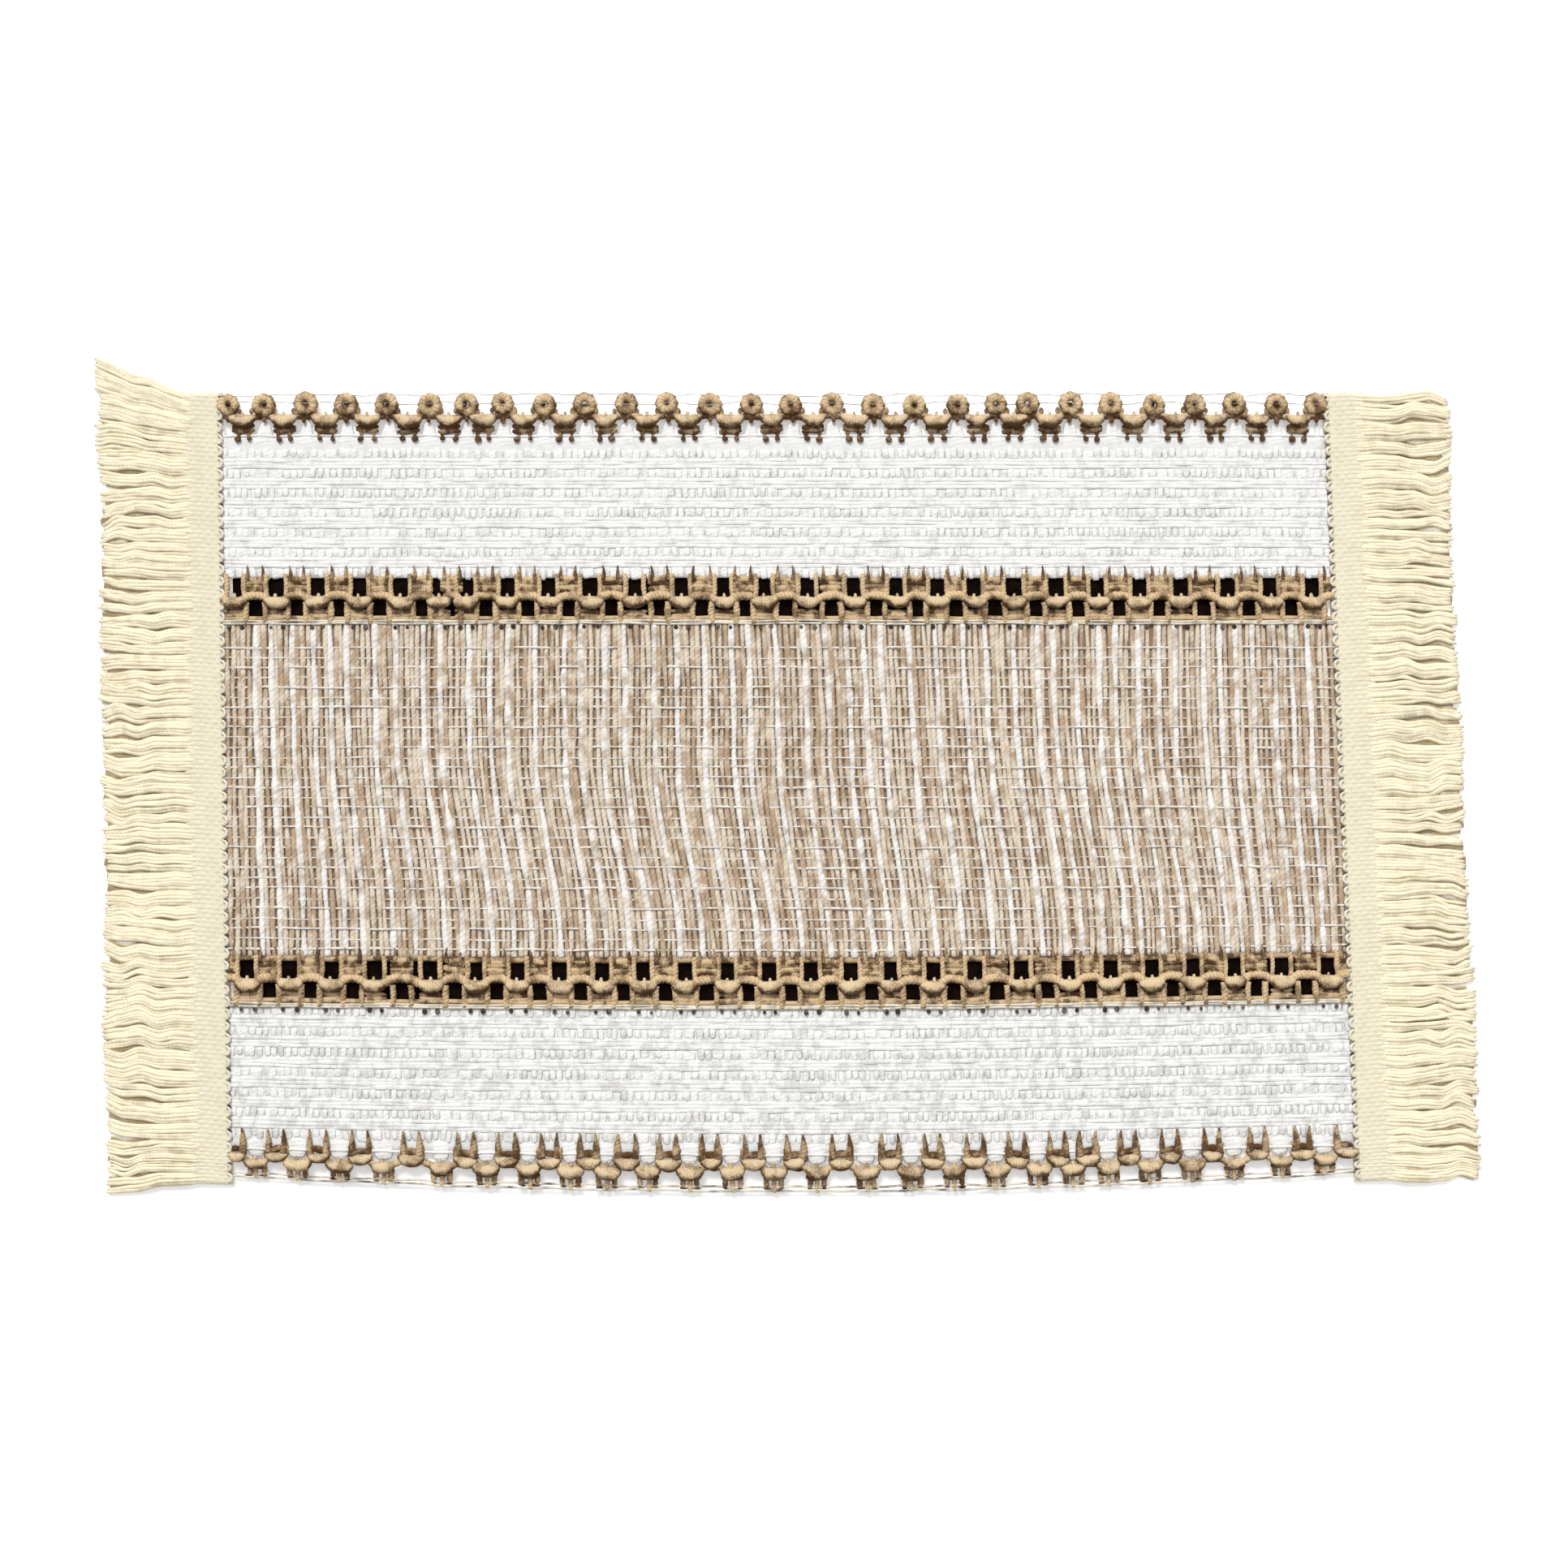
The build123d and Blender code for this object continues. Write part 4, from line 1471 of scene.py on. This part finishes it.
        x = self.end.value * (plan.tape_edge + start + share * (reach[:, None] - start))
        rise = np.sin(math.pi * np.clip(share * 1.25, 0, 1) ** 0.7)
        ridge = (1 - place**2) * (0.15 + 1.15 * rise)
        fall = 3.45 - 1.65 * share**1.5 - 0.9 * np.exp(-share / 0.05)
        z = fall + ridge + 0.35 * own + 0.12 * np.abs(stray) * share
        thick = rng.uniform(0.9, 1.15, (len(root), 1)) * (1 + 0.13 * soft_noise(rng, len(root), count, 9))
        thick = thick * (1 - 0.4 * np.clip((share - 0.94) / 0.06, 0, 1))
        # Painted shade darkens the edges of each clump, its front edge most, as far as the strands rise; the strands
        # are also lighter towards the tape and vary at random.
        tones = 0.8 + rng.uniform(-0.1, 0.1, (len(root), 1)) + (0.14 * place - 0.16 * place**2) * rise
        tones = tones + 0.1 * (1 - share) + 0.1 * soft_noise(rng, len(root), count, 5)
        mesh.tubes(line_paths(x, y, z), 1.35 * thick, 0.95 * thick, tone=tones[..., None], sides=6)

    def under_layer(self, mesh: SoftMesh, share: Array, clumps: Clumps, rng: np.random.Generator) -> None:
        """Adds a flat layer of broad strands under the others, dark with painted shadow above, which shows in the gaps
        between the strands, and pale below.

        Args:
            mesh: gathers the surfaces.
            share: the share of the way along a strand.
            clumps: the clumps that the strands sway with.
            rng: the source of randomness.
        """
        plan = self.plan
        root = np.arange(-plan.body_edge + 3.5, plan.body_edge - 3, self.under_pitch)
        y = root[:, None] + 0.8 * clumps.sways[clumps.find(root)[0]] + self.splay(root, share, rng)
        length = plan.fringe_edge - plan.tape_edge + rng.uniform(-1.5, 2.5, (len(root), 1))
        x = self.end.value * (plan.tape_edge - 3 + share * length)
        # Painted shadow on the upper side, pale underneath.
        painted_shading = np.where(np.sin(full_turn(6)) > 0.1, 0.14, 0.84)
        mesh.tubes(line_paths(x, y, 2.4 - 1.3 * share), 2.5, 0.7, tone=painted_shading, sides=6)

    def fringe(self, dresser: Dresser, rng: np.random.Generator) -> bpy.types.Object:
        """Makes the strands and the layer under them, which bend from the tape on.

        Args:
            dresser: finishes the piece.
            rng: the source of randomness.

        Returns:
            The fringe.
        """
        share = np.linspace(0, 1, self.points_along)
        clumps, mesh = self.clumps(share, rng), SoftMesh()
        self.strands(mesh, share, clumps, rng)
        self.under_layer(mesh, share, clumps, rng)
        piece = dresser.piece(mesh, f"fringe_strands_{self.end.tag}", "cream_fringe", f"fringe_{self.end.tag}",
                              body="")
        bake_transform(piece)
        return piece

    def splay(self, root: Array, share: Array, rng: np.random.Generator) -> Array:
        """How far the strands near a corner swing outwards: farthest at the very corner, and at the cut end.

        Args:
            root: each strand's place along Y.
            share: the share of the way along a strand.
            rng: the source of randomness.

        Returns:
            (strands, count) shifts along Y.
        """
        rear, front = (34.0, 9.0) if self.end is End.LEFT else (1.0, 4.0)
        edge = self.plan.body_edge
        near_rear = np.exp(-(edge - root) / 21)
        near_front = np.exp(-(edge + root) / 14)
        swing = rear * near_rear - front * near_front
        return (swing * rng.uniform(0.9, 1.03, len(root)))[:, None] * (share**1.15)

    def build(self, dresser: Dresser) -> bpy.types.Object:
        """Makes the tape, the seam and the fringe.

        Args:
            dresser: finishes the pieces.

        Returns:
            The tape, with the rest on it.
        """
        rng = np.random.default_rng(57 + self.end.value)
        tape = self.tape(dresser)
        seam = self.seam(dresser, rng)
        fringe = self.fringe(dresser, rng)
        return tape


# ---- studio -------------------------------------------------------------------------------------------------
@dataclass
class Studio:
    """A pale floor, one soft high key lamp from behind, and a camera that looks almost straight down."""

    view_width: float = 0.981
    tilt: float = math.radians(3.1)
    lens: float = 50.0
    aim: tuple[float, float] = (-0.0022, 0.0032)
    floor_glow: float = 0.22
    sky: float = 0.45

    def floor(self) -> None:
        """Lays the floor, a plain glowing plane a hair below the mat, which is clear from underneath."""
        bpy.ops.mesh.primitive_plane_add(size=12, location=(0, 0, -0.0004))
        floor = bpy.context.object
        floor.name = "floor"
        material = bpy.data.materials.new("pale_floor")
        material.use_nodes = True
        shader = material.node_tree.nodes["Principled BSDF"]
        nodes = Nodes(material.node_tree)
        for label, value in {"Base Color": (0.95, 0.95, 0.95, 1), "Roughness": 0.9, "Specular IOR Level": 0.1,
                             "Emission Color": (1, 1, 1, 1), "Emission Strength": self.floor_glow}.items():
            nodes.feed(shader.inputs[label], value)
        backfacing, clear = nodes.add("NewGeometry").outputs["Backfacing"], nodes.add("BsdfTransparent").outputs[0]
        see_through = nodes.add("MixShader", {0: backfacing, 1: shader.outputs[0], 2: clear})
        nodes.feed(material.node_tree.nodes["Material Output"].inputs["Surface"], see_through.outputs[0])
        floor.data.materials.append(material)

    def lamp(self, name: str, kind: str, place: tuple[float, float, float], power: float, size: float) -> None:
        """Hangs one soft lamp that faces the mat.

        Args:
            name: the lamp's name.
            kind: SUN or AREA.
            place: where it hangs, in metres.
            power: its strength, in watts, or watts per square metre for a sun.
            size: the length of its side, or the angle that a sun fills in radians.
        """
        light = bpy.data.lights.new(name, kind)
        light.energy = power
        if kind == "SUN":
            light.angle = size
        else:
            light.size = size
        lamp = bpy.data.objects.new(name, light)
        lamp.location = place
        lamp.rotation_euler = (-Vector(place)).to_track_quat("-Z", "Y").to_euler()
        bpy.context.scene.collection.objects.link(lamp)

    def build(self) -> None:
        """Sets up the floor, the lamps, the surroundings and the camera."""
        self.floor()
        self.lamp("key", "SUN", (-0.5, 2.0, 2.1), 2.75, math.radians(22))
        self.lamp("overhead", "AREA", (0.3, 0.2, 2.2), 10, 1.6)
        world = bpy.data.worlds.new("studio")
        world.use_nodes = True
        nodes = Nodes(world.node_tree)
        seen = nodes.add("LightPath").outputs["Is Camera Ray"]
        background = world.node_tree.nodes["Background"]
        background.inputs["Color"].default_value = (1, 1, 1, 1)
        nodes.feed(background.inputs["Strength"], nodes.spread(seen, 0.0, 1.0, self.sky, 1.0))
        scene = bpy.context.scene
        scene.world = world
        scene.view_settings.view_transform = "Standard"
        camera_data = bpy.data.cameras.new("above")
        camera_data.lens = self.lens
        camera_data.sensor_width = 36.0
        distance = self.view_width / 2 / (camera_data.sensor_width / 2 / self.lens)
        camera = bpy.data.objects.new("above", camera_data)
        aim_x, aim_y = self.aim
        camera.location = (aim_x, aim_y - distance * math.sin(self.tilt), distance * math.cos(self.tilt))
        camera.rotation_euler = (self.tilt, 0, 0)
        scene.collection.objects.link(camera)
        scene.camera = camera


def main() -> None:
    """Builds the mat in the order that it would be made, then the studio around it."""
    logging.basicConfig(level=logging.INFO, format="%(name)s %(message)s")
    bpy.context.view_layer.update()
    plan = MatPlan.from_frame()
    lie = FloorLie(plan)
    dresser = Dresser.with_finishes(lie)
    openwork_drift = {
        Row.REAR: RowDrift(lie, 8.0, ((-212, -11.4), (-88, 5.5), (24, 4.5), (105, -4.0), (262, 4.0))),
        Row.FRONT: RowDrift(lie, 0.0, ((-244, 11.5), (22, -2.3), (131, 6.0), (286, 6.0))),
    }
    edge_drift = {
        Row.REAR: RowDrift(lie, 1.8, ((-194, -5.7), (154, -7.2))),
        Row.FRONT: RowDrift(lie, 3.0, ((-245, 13.0), (-143, -4.5), (18, 7.0), (156, -8.5), (273, 4.0))),
    }
    Backing(plan).build(dresser)
    CentrePanel(plan).build(dresser)
    for row in Row:
        WhiteBand(plan, row, edge_drift[row]).build(dresser)
        OpenworkRow(plan, row, openwork_drift[row]).build(dresser)
    for row, edge in zip(Row, (RearLaceEdge, FrontLaceEdge)):
        edge(plan, row, edge_drift[row]).build(dresser)
    for end in End:
        FringedEnd(plan, end).build(dresser)
    Studio().build()


if __name__ == "__main__":
    main()
